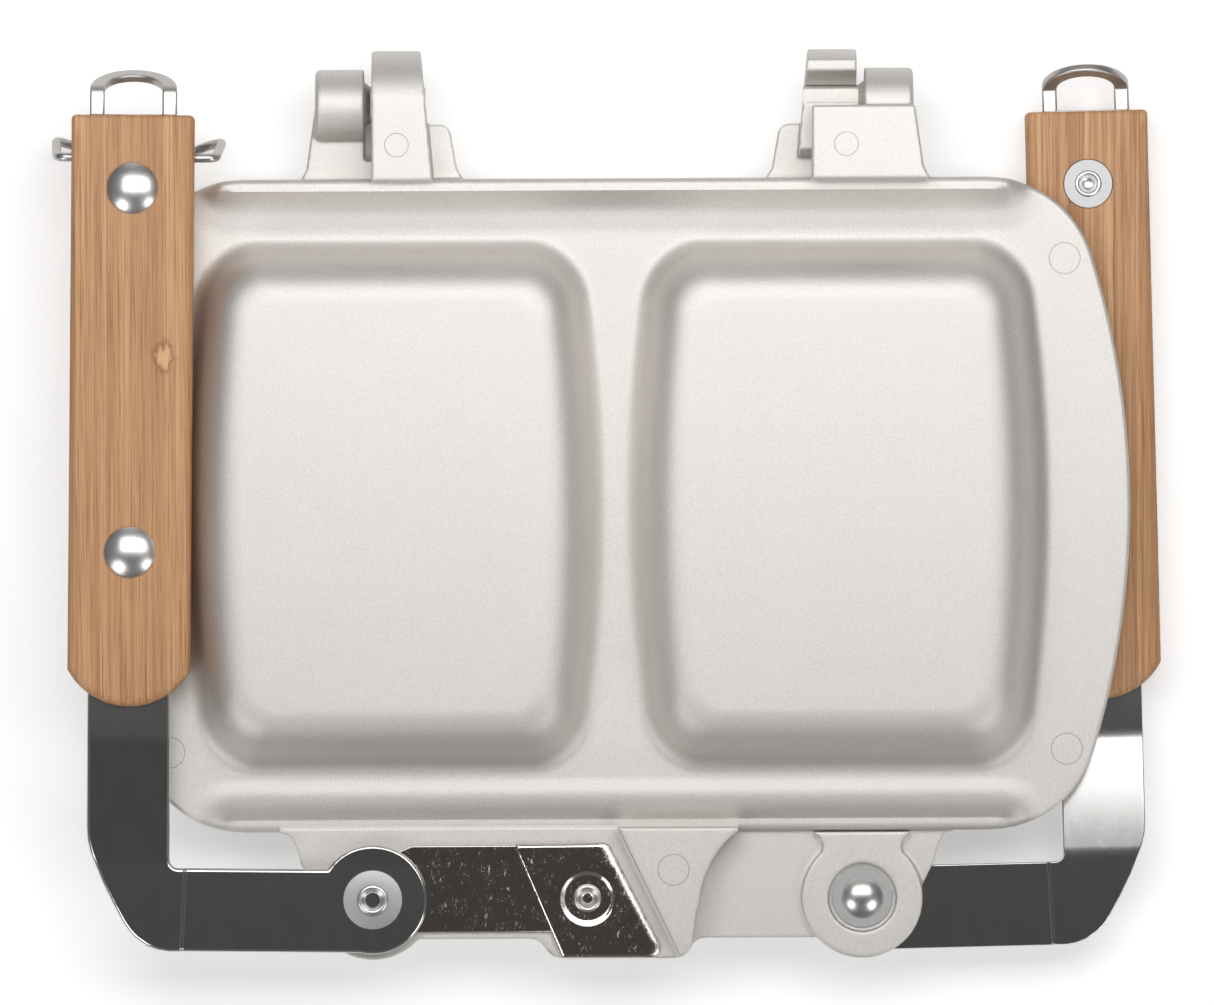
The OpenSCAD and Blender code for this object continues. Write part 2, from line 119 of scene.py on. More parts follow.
@dataclass(frozen=True)
class HalfFrame:
    """Places what is drawn in millimetres for one half of the iron.

    Attributes:
        half: which half the pieces belong to.
    """

    half: Half

    def node(self, piece: str) -> str:
        """Name of this half's node or body called piece."""
        return f"{self.half.value}_{piece}"

    def plate(self) -> Matrix:
        """Works out how the half's own frame lies in the row frame.

        Returns:
            The matrix, which also turns millimetres into metres.
        """
        middle_x = sum(joint(f"{half.value}_handle_fold")["pos_m"][0] for half in Half) / 2
        turn = Matrix.Rotation(math.pi, 4, "Y") if self.half is Half.LOWER else Matrix()
        at = Matrix.Translation((middle_x, 0, joint("clamshell")["pos_m"][2]))
        return at @ turn @ Matrix.Scale(MM, 4)

    def pivot_point(self) -> Vector:
        """Handle pivot in the half's own frame, in millimetres."""
        return self.plate().inverted() @ Vector(joint(self.node("handle_fold"))["pos_m"])

    def pivot(self) -> Matrix:
        """Frame of the folded handle: origin at the pivot, +Y along the handle.

        Returns:
            The matrix from that frame to the row frame.
        """
        at = self.pivot_point()
        lean = joint(self.node("handle_fold"))["range_deg"][1] - 180
        return (self.plate() @ Matrix.Translation((at.x, at.y, 0))
                @ Matrix.Rotation(math.radians(-lean), 4, "Z"))

    def grip(self) -> Matrix:
        """Frame of the grip: +Y along its centre line, origin beside the pivot."""
        return self.pivot() @ Matrix.Translation((self.pivot_point().x, 0, 0))


def joint(name: str) -> dict:
    """Finds a joint of the frame.

    Args:
        name: the joint's name in the record.

    Returns:
        The joint's entry, with its place, axis and range.
    """
    return next(entry for entry in frame["joints"] if entry["name"] == name)


def arc(centre: Sequence[float], radius: float, start: float, end: float, count: int) -> list:
    """Points of an arc, both ends included.

    Args:
        centre: the arc's centre.
        radius: its radius.
        start: angle of the first point, in degrees.
        end: angle of the last point, in degrees.
        count: number of steps along the arc.

    Returns:
        The points as (x, y) pairs.
    """
    angles = np.radians(np.linspace(start, end, count + 1))
    return [(centre[0] + radius * math.cos(a), centre[1] + radius * math.sin(a)) for a in angles]


def rounded(corners: Sequence[tuple[float, float, float]], step: float = 12.0) -> list:
    """Closed outline whose corners are rounded by true arcs.

    Args:
        corners: (x, y, radius) of each corner; a radius of 0 keeps the corner sharp.
        step: largest angle between two points of an arc, in degrees.

    Returns:
        The outline's points, in the order of the corners.
    """
    outline = []
    for i, (x, y, radius) in enumerate(corners):
        at = Vector((x, y))
        back = (Vector(corners[i - 1][:2]) - at).normalized()
        ahead = (Vector(corners[(i + 1) % len(corners)][:2]) - at).normalized()
        turn = math.pi - back.angle(ahead)
        if radius <= 0 or turn < 0.01:
            outline.append((x, y))
            continue
        reach = radius * math.tan(turn / 2)
        bisector = (back + ahead).normalized()
        centre = at + bisector * math.hypot(radius, reach)
        first = at + back * reach - centre
        sign = 1 if back.x * ahead.y - back.y * ahead.x < 0 else -1
        start = math.degrees(math.atan2(first.y, first.x))
        count = max(2, round(math.degrees(turn) / step))
        outline += arc(centre, radius, start, start + sign * math.degrees(turn), count)
    return outline


def normals(loop: Points) -> Points:
    """Outward unit normals of a closed anticlockwise loop, lengthened at its corners.

    Args:
        loop: the loop's points, one row each.

    Returns:
        One normal for each point.
    """
    ahead = np.roll(loop, -1, 0) - loop
    ahead /= np.linalg.norm(ahead, axis=1, keepdims=True)
    side = np.stack([ahead[:, 1], -ahead[:, 0]], 1)
    both = side + np.roll(side, 1, 0)
    unit = both / np.linalg.norm(both, axis=1, keepdims=True)
    return unit / np.clip(np.sum(unit * side, 1, keepdims=True), 0.5, 1)


def from_slopes(knots: Sequence[tuple[float, float]], gap: Points) -> Points:
    """Height over the flange of a profile that is given by its slopes.

    Args:
        knots: (distance from the lip, slope there) pairs; the last one lies on the flange.
        gap: distances from the lip, in millimetres.

    Returns:
        The heights, 0 at and beyond the last knot.
    """
    at, slope = np.array(knots).T
    fine = np.linspace(0, at[-1], 200)
    slopes = np.interp(fine, at, slope)
    steps = (slopes[1:] + slopes[:-1]) / 2 * fine[1]
    heights = -np.append(np.cumsum(steps[::-1])[::-1], 0.0)
    return np.interp(gap, fine, heights)


def smoothstep(value: Union[float, Points]) -> Union[float, Points]:
    """Smooth ramp from 0 at 0 to 1 at 1."""
    clipped = np.clip(value, 0, 1)
    return clipped * clipped * (3 - 2 * clipped)


def lifted(plan: Points, height: Union[float, Points]) -> Points:
    """Plan points raised to a height, as rows of x, y, z."""
    return np.column_stack([plan, np.broadcast_to(height, len(plan))])


# ---------------------------------------------------------------- mesh drawing


@dataclass
class Sketch:
    """Points and faces of one mesh, in millimetres, before it becomes an object."""

    points: list = field(default_factory=list)
    faces: list = field(default_factory=list)
    finishes: list = field(default_factory=list)

    def band(self, rows: Sequence[Points], closed: bool = True, caps: bool = True,
             finish: int = 0) -> "Sketch":
        """Adds a skin over rows that run outwards over the top and then down and back.

        Args:
            rows: the rows, each with the same number of points, anticlockwise from above.
            closed: whether each row's last point joins its first.
            caps: whether the first and last row are closed by a face.
            finish: index of the material on these faces.

        Returns:
            The sketch itself.
        """
        count, base = len(rows[0]), len(self.points)
        for row in rows:
            self.points += [tuple(float(v) for v in point) for point in row]
        faces = []
        for k in range(len(rows) - 1):
            for i in range(count if closed else count - 1):
                a, b = base + k * count + i, base + k * count + (i + 1) % count
                faces.append((a, a + count, b + count, b))
        if caps:
            faces.append(tuple(base + i for i in range(count)))
            faces.append(tuple(base + (len(rows) - 1) * count + i for i in reversed(range(count))))
        self.faces += faces
        self.finishes += [finish] * len(faces)
        return self

    def prism(self, outline: Sequence, low: float, high: float, roll: float = 0.0,
              foot: float = 0.0, steps: int = 5) -> "Sketch":
        """Adds an upright prism with rounded top and bottom edges.

        Args:
            outline: the plan outline, anticlockwise.
            low: height of the underside.
            high: height of the top.
            roll: radius of the top edge.
            foot: radius of the bottom edge.
            steps: number of steps round each edge.

        Returns:
            The sketch itself.
        """
        plan = np.array(outline, float)
        out = normals(plan)
        rows = []
        if roll > 0:
            rows.append(lifted(plan - out * (roll + FLAT_MARGIN), high))
            rows += [lifted(plan - out * roll * (1 - math.sin(a)), high - roll * (1 - math.cos(a)))
                     for a in np.linspace(0, math.pi / 2, steps + 1)]
        else:
            rows.append(lifted(plan, high))
        if foot > 0:
            rows += [lifted(plan - out * foot * (1 - math.cos(a)), low + foot * (1 - math.sin(a)))
                     for a in np.linspace(0, math.pi / 2, steps + 1)]
            rows.append(lifted(plan - out * (foot + FLAT_MARGIN), low))
        else:
            rows.append(lifted(plan, low))
        return self.band(rows)

    def lathe(self, profile: Sequence[tuple[float, float]], centre: Sequence[float] = (0, 0),
              count: int = 64) -> "Sketch":
        """Adds a turned shape whose profile runs from its top middle outwards and back.

        Args:
            profile: (radius, height) pairs.
            centre: the axis in plan.
            count: number of points round the axis.

        Returns:
            The sketch itself.
        """
        angles = np.linspace(0, 2 * math.pi, count, endpoint=False)
        ring = np.stack([np.cos(angles), np.sin(angles)], 1)
        rows = [lifted(ring * max(radius, POINT_R) + np.array(centre[:2]), height)
                for radius, height in profile]
        return self.band(rows, caps=tuple(profile[0]) != tuple(profile[-1]))

    def across(self, outline: Sequence, start: float, end: float) -> "Sketch":
        """Adds a prism along X from an outline in the YZ plane.

        Args:
            outline: (y, z) points, anticlockwise seen from +X.
            start: X of its left end.
            end: X of its right end.

        Returns:
            The sketch itself.
        """
        section = np.array(outline, float)
        rows = [np.column_stack([np.full(len(section), x), section]) for x in (end, start)]
        return self.band(rows)

    def turned(self, matrix: Matrix, first: int = 0) -> "Sketch":
        """Moves the points from number first on by a matrix."""
        self.points[first:] = [tuple(matrix @ Vector(p)) for p in self.points[first:]]
        return self

    def tube(self, path: Sequence, radius: float, sides: int = 16) -> "Sketch":
        """Adds a round wire along a path, with rounded ends.

        Args:
            path: the centre line's points.
            radius: the wire's radius.
            sides: number of points round the wire.

        Returns:
            The sketch itself.
        """
        line = [Vector(p) for p in path]
        nose, body, tail = [(-0.5, 0.4), (-0.35, 0.8)], [(0.0, 1.0)], [(0.35, 0.8), (0.5, 0.4)]
        up, rows = Vector((0, 1, 0)), []
        for i, at in enumerate(line):
            ahead = (line[min(i + 1, len(line) - 1)] - line[max(i - 1, 0)]).normalized()
            right = ahead.cross(up).normalized()
            up = right.cross(ahead)
            rings = (nose if i == 0 else []) + body + (tail if i == len(line) - 1 else [])
            for push, size in rings:
                middle = at + ahead * radius * push
                ring = [middle + (right * math.cos(a) + up * math.sin(a)) * radius * size
                        for a in np.linspace(0, 2 * math.pi, sides, endpoint=False)]
                rows.append(np.array([tuple(p) for p in ring]))
        return self.band(rows[::-1])

    def mesh(self) -> bpy.types.Mesh:
        """Makes a mesh of the sketch.

        Returns:
            The mesh, still in millimetres.
        """
        made = bpy.data.meshes.new("sketch")
        made.from_pydata(self.points, [], self.faces)
        made.polygons.foreach_set("material_index", self.finishes)
        return made

    def cut(self, planes: Sequence[tuple[Vector, Vector]]) -> bpy.types.Mesh:
        """Mesh of the sketch, split along planes so that it can bend there.

        Args:
            planes: (point, normal) of each plane.

        Returns:
            The split mesh, in millimetres.
        """
        made = self.mesh()
        work = bmesh.new()
        work.from_mesh(made)
        for point, normal in planes:
            parts = work.verts[:] + work.edges[:] + work.faces[:]
            bmesh.ops.bisect_plane(work, geom=parts, plane_co=point, plane_no=normal)
        work.to_mesh(made)
        work.free()
        return made

    def cast(self, voxel: float = 0.36, passes: int = 5) -> bpy.types.Mesh:
        """Fuses the sketch's overlapping bodies and rounds all their edges, as casting does.

        Args:
            voxel: size of the fused mesh's grid, in millimetres.
            passes: number of smoothing passes, which set the edge radius.

        Returns:
            The fused mesh, in millimetres.
        """
        block = bpy.data.objects.new("block", self.mesh())
        bpy.context.scene.collection.objects.link(block)
        fuse = block.modifiers.new("fuse", "REMESH")
        fuse.mode = "VOXEL"
        fuse.voxel_size = voxel
        soften = block.modifiers.new("soften", "SMOOTH")
        soften.factor = 0.5
        soften.iterations = passes
        whole = block.evaluated_get(bpy.context.evaluated_depsgraph_get())
        made = bpy.data.meshes.new_from_object(whole)
        bpy.data.objects.remove(block)
        return made


def bored(mesh: bpy.types.Mesh, tool: Sketch) -> bpy.types.Mesh:
    """Cuts the volume of a sketch out of a mesh.

    Args:
        mesh: the closed mesh that is cut.
        tool: the volume to take away, in the same frame.

    Returns:
        The cut mesh.
    """
    work, cutter = bpy.data.objects.new("work", mesh), bpy.data.objects.new("tool", tool.mesh())
    for piece in (work, cutter):
        bpy.context.scene.collection.objects.link(piece)
    bore = work.modifiers.new("bore", "BOOLEAN")
    bore.operation, bore.solver, bore.object = "DIFFERENCE", "EXACT", cutter
    whole = work.evaluated_get(bpy.context.evaluated_depsgraph_get())
    made = bpy.data.meshes.new_from_object(whole)
    for piece in (work, cutter):
        bpy.data.objects.remove(piece)
    return made


def place(mesh: bpy.types.Mesh, name: str, matrix: Matrix, body: str,
          materials: Sequence[bpy.types.Material], nodes: Sequence[str] = (),
          sharp: float = CREASE) -> None:
    """Turns a mesh in millimetres into a piece of the object.

    Args:
        mesh: the mesh, drawn in the frame that matrix places.
        name: the piece's name.
        matrix: from the mesh's frame to the row frame.
        body: the body that the piece rides on.
        materials: the finishes, by the mesh's material index.
        nodes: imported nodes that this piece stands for.
        sharp: edges that turn by more than this angle, in degrees, stay sharp.
    """
    work = bmesh.new()
    work.from_mesh(mesh)
    bmesh.ops.remove_doubles(work, verts=work.verts, dist=WELD)
    work.to_mesh(mesh)
    work.free()
    mesh.name = name
    mesh.transform(matrix)
    mesh.polygons.foreach_set("use_smooth", [True] * len(mesh.polygons))
    mesh.set_sharp_from_angle(angle=math.radians(sharp))
    for material in materials:
        mesh.materials.append(material)
    piece = bpy.data.objects.new(name, mesh)
    bpy.context.scene.collection.objects.link(piece)
    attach(piece, body)
    if nodes:
        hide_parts(*nodes)
    LOG.info("%s: %d faces on %s", name, len(mesh.polygons), body)


# ---------------------------------------------------------------- finishes


class Shader:
    """Node tree of one material, with short calls for the nodes that the finishes use."""

    def __init__(self, name: str) -> None:
        """Starts a material whose only nodes are its output and its shader.

        Args:
            name: the material's name.
        """
        self.material = bpy.data.materials.new(name)
        self.material.use_nodes = True
        self.tree = self.material.node_tree
        self.surface = self.tree.nodes["Principled BSDF"]

    def add(self, kind: str, **values: object) -> bpy.types.Node:
        """Adds a node and sets its properties.

        Args:
            kind: the node's type.
            values: its properties.

        Returns:
            The new node.
        """
        node = self.tree.nodes.new(kind)
        for key, value in values.items():
            setattr(node, key, value)
        return node

    def feed(self, socket: bpy.types.NodeSocket, value: Input) -> None:
        """Links a socket to another one, or sets its value.

        Args:
            socket: the input that is fed.
            value: another node's output, or a value.
        """
        if isinstance(value, bpy.types.NodeSocket):
            self.tree.links.new(value, socket)
        else:
            socket.default_value = value

    def set(self, **values: object) -> None:
        """Sets inputs of the surface shader.

        Args:
            values: the inputs by name, with an underscore for each space.
        """
        for key, value in values.items():
            socket = self.surface.inputs[key.replace("_", " ")]
            if isinstance(value, tuple) and len(value) == 3:
                value = (*value, 1.0)
            self.feed(socket, value)

    def place(self, scale: Sequence[float] = (1, 1, 1)) -> bpy.types.NodeSocket:
        """Adds coordinates on the piece, in millimetres.

        Args:
            scale: factor along each axis; below 1 it draws the pattern out.

        Returns:
            The coordinates.
        """
        source = self.add("ShaderNodeTexCoord")
        mapping = self.add("ShaderNodeMapping")
        mapping.inputs["Scale"].default_value = [s / MM for s in scale]
        self.tree.links.new(source.outputs["Object"], mapping.inputs["Vector"])
        return mapping.outputs["Vector"]

    def noise(self, at: bpy.types.NodeSocket, size: float, detail: float = 2.0, rough: float = 0.5,
              curl: float = 0.0) -> bpy.types.NodeSocket:
        """Adds cloudy noise.

        Args:
            at: the coordinates.
            size: width of its features, in millimetres.
            detail: number of finer layers.
            rough: strength of the finer layers.
            curl: how much the features curl.

        Returns:
            The noise, from 0 to 1.
        """
        node = self.add("ShaderNodeTexNoise")
        self.feed(node.inputs["Vector"], at)
        node.inputs["Scale"].default_value = 1 / size
        node.inputs["Detail"].default_value = detail
        node.inputs["Roughness"].default_value = rough
        node.inputs["Distortion"].default_value = curl
        return node.outputs["Fac"]

    def ramp(self, factor: Input, *stops: tuple[float, object]) -> bpy.types.NodeSocket:
        """Adds a colour ramp.

        Args:
            factor: where on the ramp to read.
            stops: (position, grey or colour) pairs.

        Returns:
            The colour.
        """
        node = self.add("ShaderNodeValToRGB")
        while len(node.color_ramp.elements) < len(stops):
            node.color_ramp.elements.new(0.5)
        for element, (position, colour) in zip(node.color_ramp.elements, stops):
            rgb = colour if isinstance(colour, tuple) else (colour,) * 3
            element.position = position
            element.color = (*rgb, 1.0)
        self.feed(node.inputs["Fac"], factor)
        return node.outputs["Color"]

    def math(self, operation: str, first: Input, second: Input = 0.0) -> bpy.types.NodeSocket:
        """Adds one arithmetic step.

        Args:
            operation: the step's name.
            first: the first value.
            second: the second value.

        Returns:
            The result.
        """
        node = self.add("ShaderNodeMath", operation=operation)
        self.feed(node.inputs[0], first)
        self.feed(node.inputs[1], second)
        return node.outputs["Value"]

    def spread(self, factor: Input, low: float, high: float) -> bpy.types.NodeSocket:
        """Maps 0 to 1 onto low to high.

        Args:
            factor: the value that is mapped.
            low: the result for 0.
            high: the result for 1.

        Returns:
            The mapped value.
        """
        node = self.add("ShaderNodeMapRange")
        self.feed(node.inputs["Value"], factor)
        node.inputs["To Min"].default_value = low
        node.inputs["To Max"].default_value = high
        return node.outputs["Result"]

    def blend(self, factor: Input, first: object, second: object) -> bpy.types.NodeSocket:
        """Mixes two colours.

        Args:
            factor: share of the second colour.
            first: the first colour.
            second: the second colour.

        Returns:
            The mixed colour.
        """
        node = self.add("ShaderNodeMix", data_type="RGBA")
        self.feed(node.inputs[0], factor)
        for socket, value in ((node.inputs[6], first), (node.inputs[7], second)):
            self.feed(socket, (*value, 1.0) if isinstance(value, tuple) else value)
        return node.outputs[2]

    def bump(self, height: Input, depth: float, strength: float = 1.0,
             over: Optional[bpy.types.NodeSocket] = None) -> bpy.types.NodeSocket:
        """Adds relief to the surface.

        Args:
            height: the relief, from 0 to 1.
            depth: its depth, in millimetres.
            strength: how strongly it shows.
            over: another relief that lies under it, if any.

        Returns:
            The normal.
        """
        node = self.add("ShaderNodeBump")
        node.inputs["Strength"].default_value = strength
        node.inputs["Distance"].default_value = depth * MM
        self.feed(node.inputs["Height"], height)
        if over is not None:
            self.feed(node.inputs["Normal"], over)
        return node.outputs["Normal"]


@dataclass(frozen=True)
class BlastedAluminium:
    """Bead-blasted cast aluminium, warm silver grey with a fine even grain."""

    name: str = "blasted_aluminium"
    light: Colour = (0.80, 0.775, 0.745)
    dark: Colour = (0.66, 0.635, 0.605)
    grain: float = 0.42
    depth: float = 0.022

    def material(self) -> bpy.types.Material:
        """Builds the finish.

        Returns:
            The material.
        """
        shader = Shader(self.name)
        at = shader.place()
        grain = shader.noise(at, self.grain, 3.0, 0.62)
        cloud = shader.noise(at, 24.0, 2.0)
        speck = shader.ramp(grain, (0.34, 0.0), (0.62, 1.0))
        tone = shader.blend(shader.math("MULTIPLY", speck, 0.8), self.dark, self.light)
        tone = shader.blend(shader.spread(cloud, 0.0, 0.25), tone, self.light)
        shader.set(Base_Color=tone, Metallic=1.0, Roughness=shader.spread(grain, 0.54, 0.68),
                   Normal=shader.bump(grain, self.depth))
        return shader.material


@dataclass(frozen=True)
class NonStickCoating:
    """Dark grey non-stick coating on the inner faces, with a very fine orange peel."""

    name: str = "non_stick_coating"
    colour: Colour = (0.045, 0.045, 0.048)
    speck: Colour = (0.085, 0.085, 0.088)

    def material(self) -> bpy.types.Material:
        """Builds the finish.

        Returns:
            The material.
        """
        shader = Shader(self.name)
        at = shader.place()
        grain = shader.noise(at, 0.5, 3.0)
        tone = shader.blend(shader.ramp(grain, (0.5, 0.0), (0.7, 1.0)), self.colour, self.speck)
        shader.set(Base_Color=tone, Metallic=0.0, Roughness=shader.spread(grain, 0.36, 0.5),
                   Normal=shader.bump(grain, 0.012))
        return shader.material


@dataclass(frozen=True)
class SatinSteel:
    """Cold-rolled stainless strip: nearly a mirror, with fine pitting and clouds."""

    name: str = "satin_steel"
    light: Colour = (0.66, 0.65, 0.64)
    dark: Colour = (0.54, 0.53, 0.52)
    smooth: float = 0.135
    rough: float = 0.165

    def material(self) -> bpy.types.Material:
        """Builds the finish.

        Returns:
            The material.
        """
        shader = Shader(self.name)
        at = shader.place()
        fine = shader.noise(at, 0.7, 4.0, 0.6)
        cloud = shader.noise(shader.place((1.0, 0.5, 1.0)), 5.0, 4.0, 0.6)
        tone = shader.blend(cloud, self.dark, self.light)
        gloss = shader.spread(shader.ramp(fine, (0.35, 0.0), (0.7, 1.0)), self.smooth, self.rough)
        shader.set(Base_Color=tone, Metallic=1.0, Roughness=gloss,
                   Normal=shader.bump(fine, 0.0004))
        return shader.material


@dataclass(frozen=True)
class ScuffedMirror:
    """Polished stainless, brownish in its reflections, with scuffs, fine scratches and a painted sheen
    on its right-hand rolled edge.

    Attributes:
        name: the material's name.
        colour: the clean metal's colour.
        haze_and_sheen: its colour where it is worn, and the colour of the painted sheen on the rolled
            edge.
        painted_sheen_from: (tilt to the right, share of the pale colour) where the painted sheen of the
            rolled edge begins.
        painted_sheen_to: the same where the painted sheen is full.
    """

    name: str = "scuffed_mirror"
    colour: Colour = (0.56, 0.50, 0.47)
    haze_and_sheen: Colour = (0.84, 0.82, 0.80)
    painted_sheen_from: tuple[float, float] = (0.10, 0.0)
    painted_sheen_to: tuple[float, float] = (0.34, 0.9)

    def material(self) -> bpy.types.Material:
        """Builds the finish.

        Returns:
            The material.
        """
        shader = Shader(self.name)
        scratch = shader.noise(shader.place((1.0, 0.45, 1.0)), 1.3, 3.0, 0.6, 2.2)
        thin = shader.ramp(scratch, (0.58, 0.0), (0.68, 0.9))
        patch = shader.ramp(shader.noise(shader.place(), 4.0, 4.0, 0.7), (0.42, 0.0), (0.62, 1.0))
        fleck = shader.ramp(shader.noise(shader.place(), 0.8, 3.0, 0.7, 1.0), (0.62, 0.0), (0.70, 1.0))
        wear_and_sheen = shader.math("MULTIPLY", shader.math("MAXIMUM", thin, fleck),
                           shader.spread(patch, 0.2, 1.0))
        # Painted sheen: faces that tilt to the right, the seat's rolled right-hand edge, get the pale
        # colour as a painted highlight, streaked by the scratch noise; the scratches, flecks and
        # patches above are wear.
        tilt = shader.add("ShaderNodeSeparateXYZ")
        shader.feed(tilt.inputs["Vector"], shader.add("ShaderNodeTexCoord").outputs["Normal"])
        rolled = shader.ramp(tilt.outputs["X"], self.painted_sheen_from, self.painted_sheen_to)
        wear_and_sheen = shader.math("MAXIMUM", wear_and_sheen, shader.math(
            "MULTIPLY", rolled, shader.ramp(scratch, (0.34, 0.25), (0.56, 1.0))))
        mottle = shader.noise(shader.place((1.0, 0.6, 1.0)), 3.2, 3.0, 0.55)
        # The pale colour shows both the wear and the painted sheen of the rolled edge.
        shader.set(Base_Color=shader.blend(wear_and_sheen, self.colour, self.haze_and_sheen), Metallic=1.0,
                   Roughness=shader.math("ADD", shader.spread(wear_and_sheen, 0.06, 0.42),
                                         shader.spread(patch, 0.0, 0.07)),
                   Normal=shader.bump(mottle, 0.10, over=shader.bump(scratch, 0.01, 0.5)))
        return shader.material


@dataclass(frozen=True)
class BrightSteel:
    """Polished stainless of the rivets, loops and wire.

    Attributes:
        name: the material's name.
        colour: the metal's colour.
        rough: its roughness where it is cleanest.
    """

    name: str = "bright_steel"
    colour: Colour = (0.80, 0.79, 0.78)
    rough: float = 0.25

    def material(self) -> bpy.types.Material:
        """Builds the finish.

        Returns:
            The material.
        """
        shader = Shader(self.name)
        at = shader.place()
        fine = shader.noise(at, 0.4, 3.0)
        stain = shader.noise(at, 2.2, 3.0)
        darker = tuple(0.88 * c for c in self.colour)
        shader.set(Base_Color=shader.blend(stain, darker, self.colour), Metallic=1.0,
                   Roughness=shader.spread(fine, self.rough, self.rough + 0.12),
                   Normal=shader.bump(fine, 0.003))
        return shader.material


@dataclass(frozen=True)
class GreyWasher:
    """Matt grey washer steel with turning marks."""

    name: str = "grey_washer"
    light: Colour = (0.58, 0.58, 0.58)
    dark: Colour = (0.44, 0.44, 0.44)

    def material(self) -> bpy.types.Material:
        """Builds the finish.

        Returns:
            The material.
        """
        shader = Shader(self.name)
        at = shader.place()
        fine = shader.noise(at, 0.25, 3.0)
        tone = shader.blend(fine, self.dark, self.light)
        shader.set(Base_Color=tone, Metallic=0.85, Roughness=shader.spread(fine, 0.44, 0.58),
                   Normal=shader.bump(fine, 0.006))
        return shader.material


@dataclass(frozen=True)
class Bamboo:
    """Oiled bamboo laminate: vertical strips with fine dark fibre bundles along the grip.

    Attributes:
        name: the material's name.
        strip: width of one laminated strip, in millimetres.
        shift: moves the grain across, so that two grips differ.
        knot: middle of a node of the cane in the row's XY plane, in millimetres.
        knot_size: half the node's width and half its length, in millimetres.
        pale: colour of the light strips and of the node.
        tan: colour of the darker strips.
        fibre: colour of the fibre bundles and the glue lines.
    """

    name: str = "bamboo"
    strip: float = 2.7
    shift: float = 0.0
    knot: tuple[float, float] = (-108.1, 36.8)
    knot_size: tuple[float, float] = (2.3, 3.4)
    pale: Colour = (0.740, 0.445, 0.225)
    tan: Colour = (0.455, 0.225, 0.100)
    fibre: Colour = (0.205, 0.078, 0.028)

    def material(self) -> bpy.types.Material:
        """Builds the finish.

        Returns:
            The material.
        """
        shader = Shader(self.name)
        where = shader.add("ShaderNodeSeparateXYZ")
        shader.feed(where.inputs["Vector"], shader.place())
        across = shader.math("ADD", where.outputs["X"], self.shift)
        index = shader.math("FLOOR", shader.math("DIVIDE", across, self.strip))
        wave = shader.add("ShaderNodeTexWhiteNoise", noise_dimensions="1D")
        shader.feed(wave.inputs["W"], index)
        slide = shader.add("ShaderNodeCombineXYZ")
        shader.feed(slide.inputs["X"], across)
        run = shader.math("MULTIPLY", where.outputs["Y"], 0.011)
        shader.feed(slide.inputs["Y"], shader.math("ADD", run, shader.math("MULTIPLY", index, 7.3)))
        shader.feed(slide.inputs["Z"], shader.math("MULTIPLY", where.outputs["Z"], 0.25))
        grain = slide.outputs["Vector"]
        broad = shader.noise(grain, 1.1, 3.0, 0.6)
        fine = shader.noise(grain, 0.24, 3.0, 0.7)
        tone = shader.blend(shader.ramp(broad, (0.34, 0.0), (0.62, 1.0)), self.tan, self.pale)
        tint = shader.spread(wave.outputs["Value"], 0.0, 0.85)
        tone = shader.blend(tint, tone, self.tan)
        dark = shader.ramp(fine, (0.50, 0.0), (0.66, 1.0))
        bundle = shader.math("MULTIPLY", dark, shader.spread(broad, 1.0, 0.3))
        tone = shader.blend(bundle, tone, self.fibre)
        seam = shader.math("PINGPONG", across, self.strip / 2)
        glue = shader.ramp(seam, (0.0, 1.0), (0.14, 0.0))
        tone = shader.blend(shader.math("MULTIPLY", glue, 0.3), tone, self.fibre)
        tone = self._knotted(shader, where, fine, tone)
        relief = shader.math("SUBTRACT", fine, shader.math("MULTIPLY", glue, 0.4))
        shader.set(Base_Color=tone, Metallic=0.0, Roughness=shader.spread(fine, 0.46, 0.62),
                   Normal=shader.bump(relief, 0.05, 0.6))
        return shader.material

    def _knotted(self, shader: Shader, where: bpy.types.Node, fine: bpy.types.NodeSocket,
                 tone: bpy.types.NodeSocket) -> bpy.types.NodeSocket:
        """Adds the cane's node: a pale frayed oval with a darker rim.

        Args:
            shader: the material being built.
            where: node that gives the coordinates in millimetres.
            fine: fine noise that frays the rim.
            tone: the colour round the node.

        Returns:
            The colour with the node in it.
        """
        gap_x = shader.math("SUBTRACT", where.outputs["X"], self.knot[0])
        gap_y = shader.math("SUBTRACT", where.outputs["Y"], self.knot[1])
        side = shader.math("DIVIDE", gap_x, self.knot_size[0])
        along = shader.math("DIVIDE", gap_y, self.knot_size[1])
        far = shader.math("SQRT", shader.math("ADD", shader.math("MULTIPLY", side, side),
                                              shader.math("MULTIPLY", along, along)))
        far = shader.math("ADD", far, shader.math("MULTIPLY", fine, 0.5))
        frayed = shader.noise(shader.place((1.0, 0.3, 1.0)), 1.1, 3.0, 0.6)
        far = shader.math("ADD", shader.math("DIVIDE", far, 2.0),
                          shader.math("MULTIPLY", shader.math("SUBTRACT", frayed, 0.5), 0.9))
        heart = shader.ramp(far, (0.36, 0.7), (0.56, 0.0))
        rim = shader.ramp(far, (0.46, 0.0), (0.6, 0.55), (0.8, 0.0))
        tone = shader.blend(heart, tone, self.pale)
        return shader.blend(rim, tone, self.fibre)


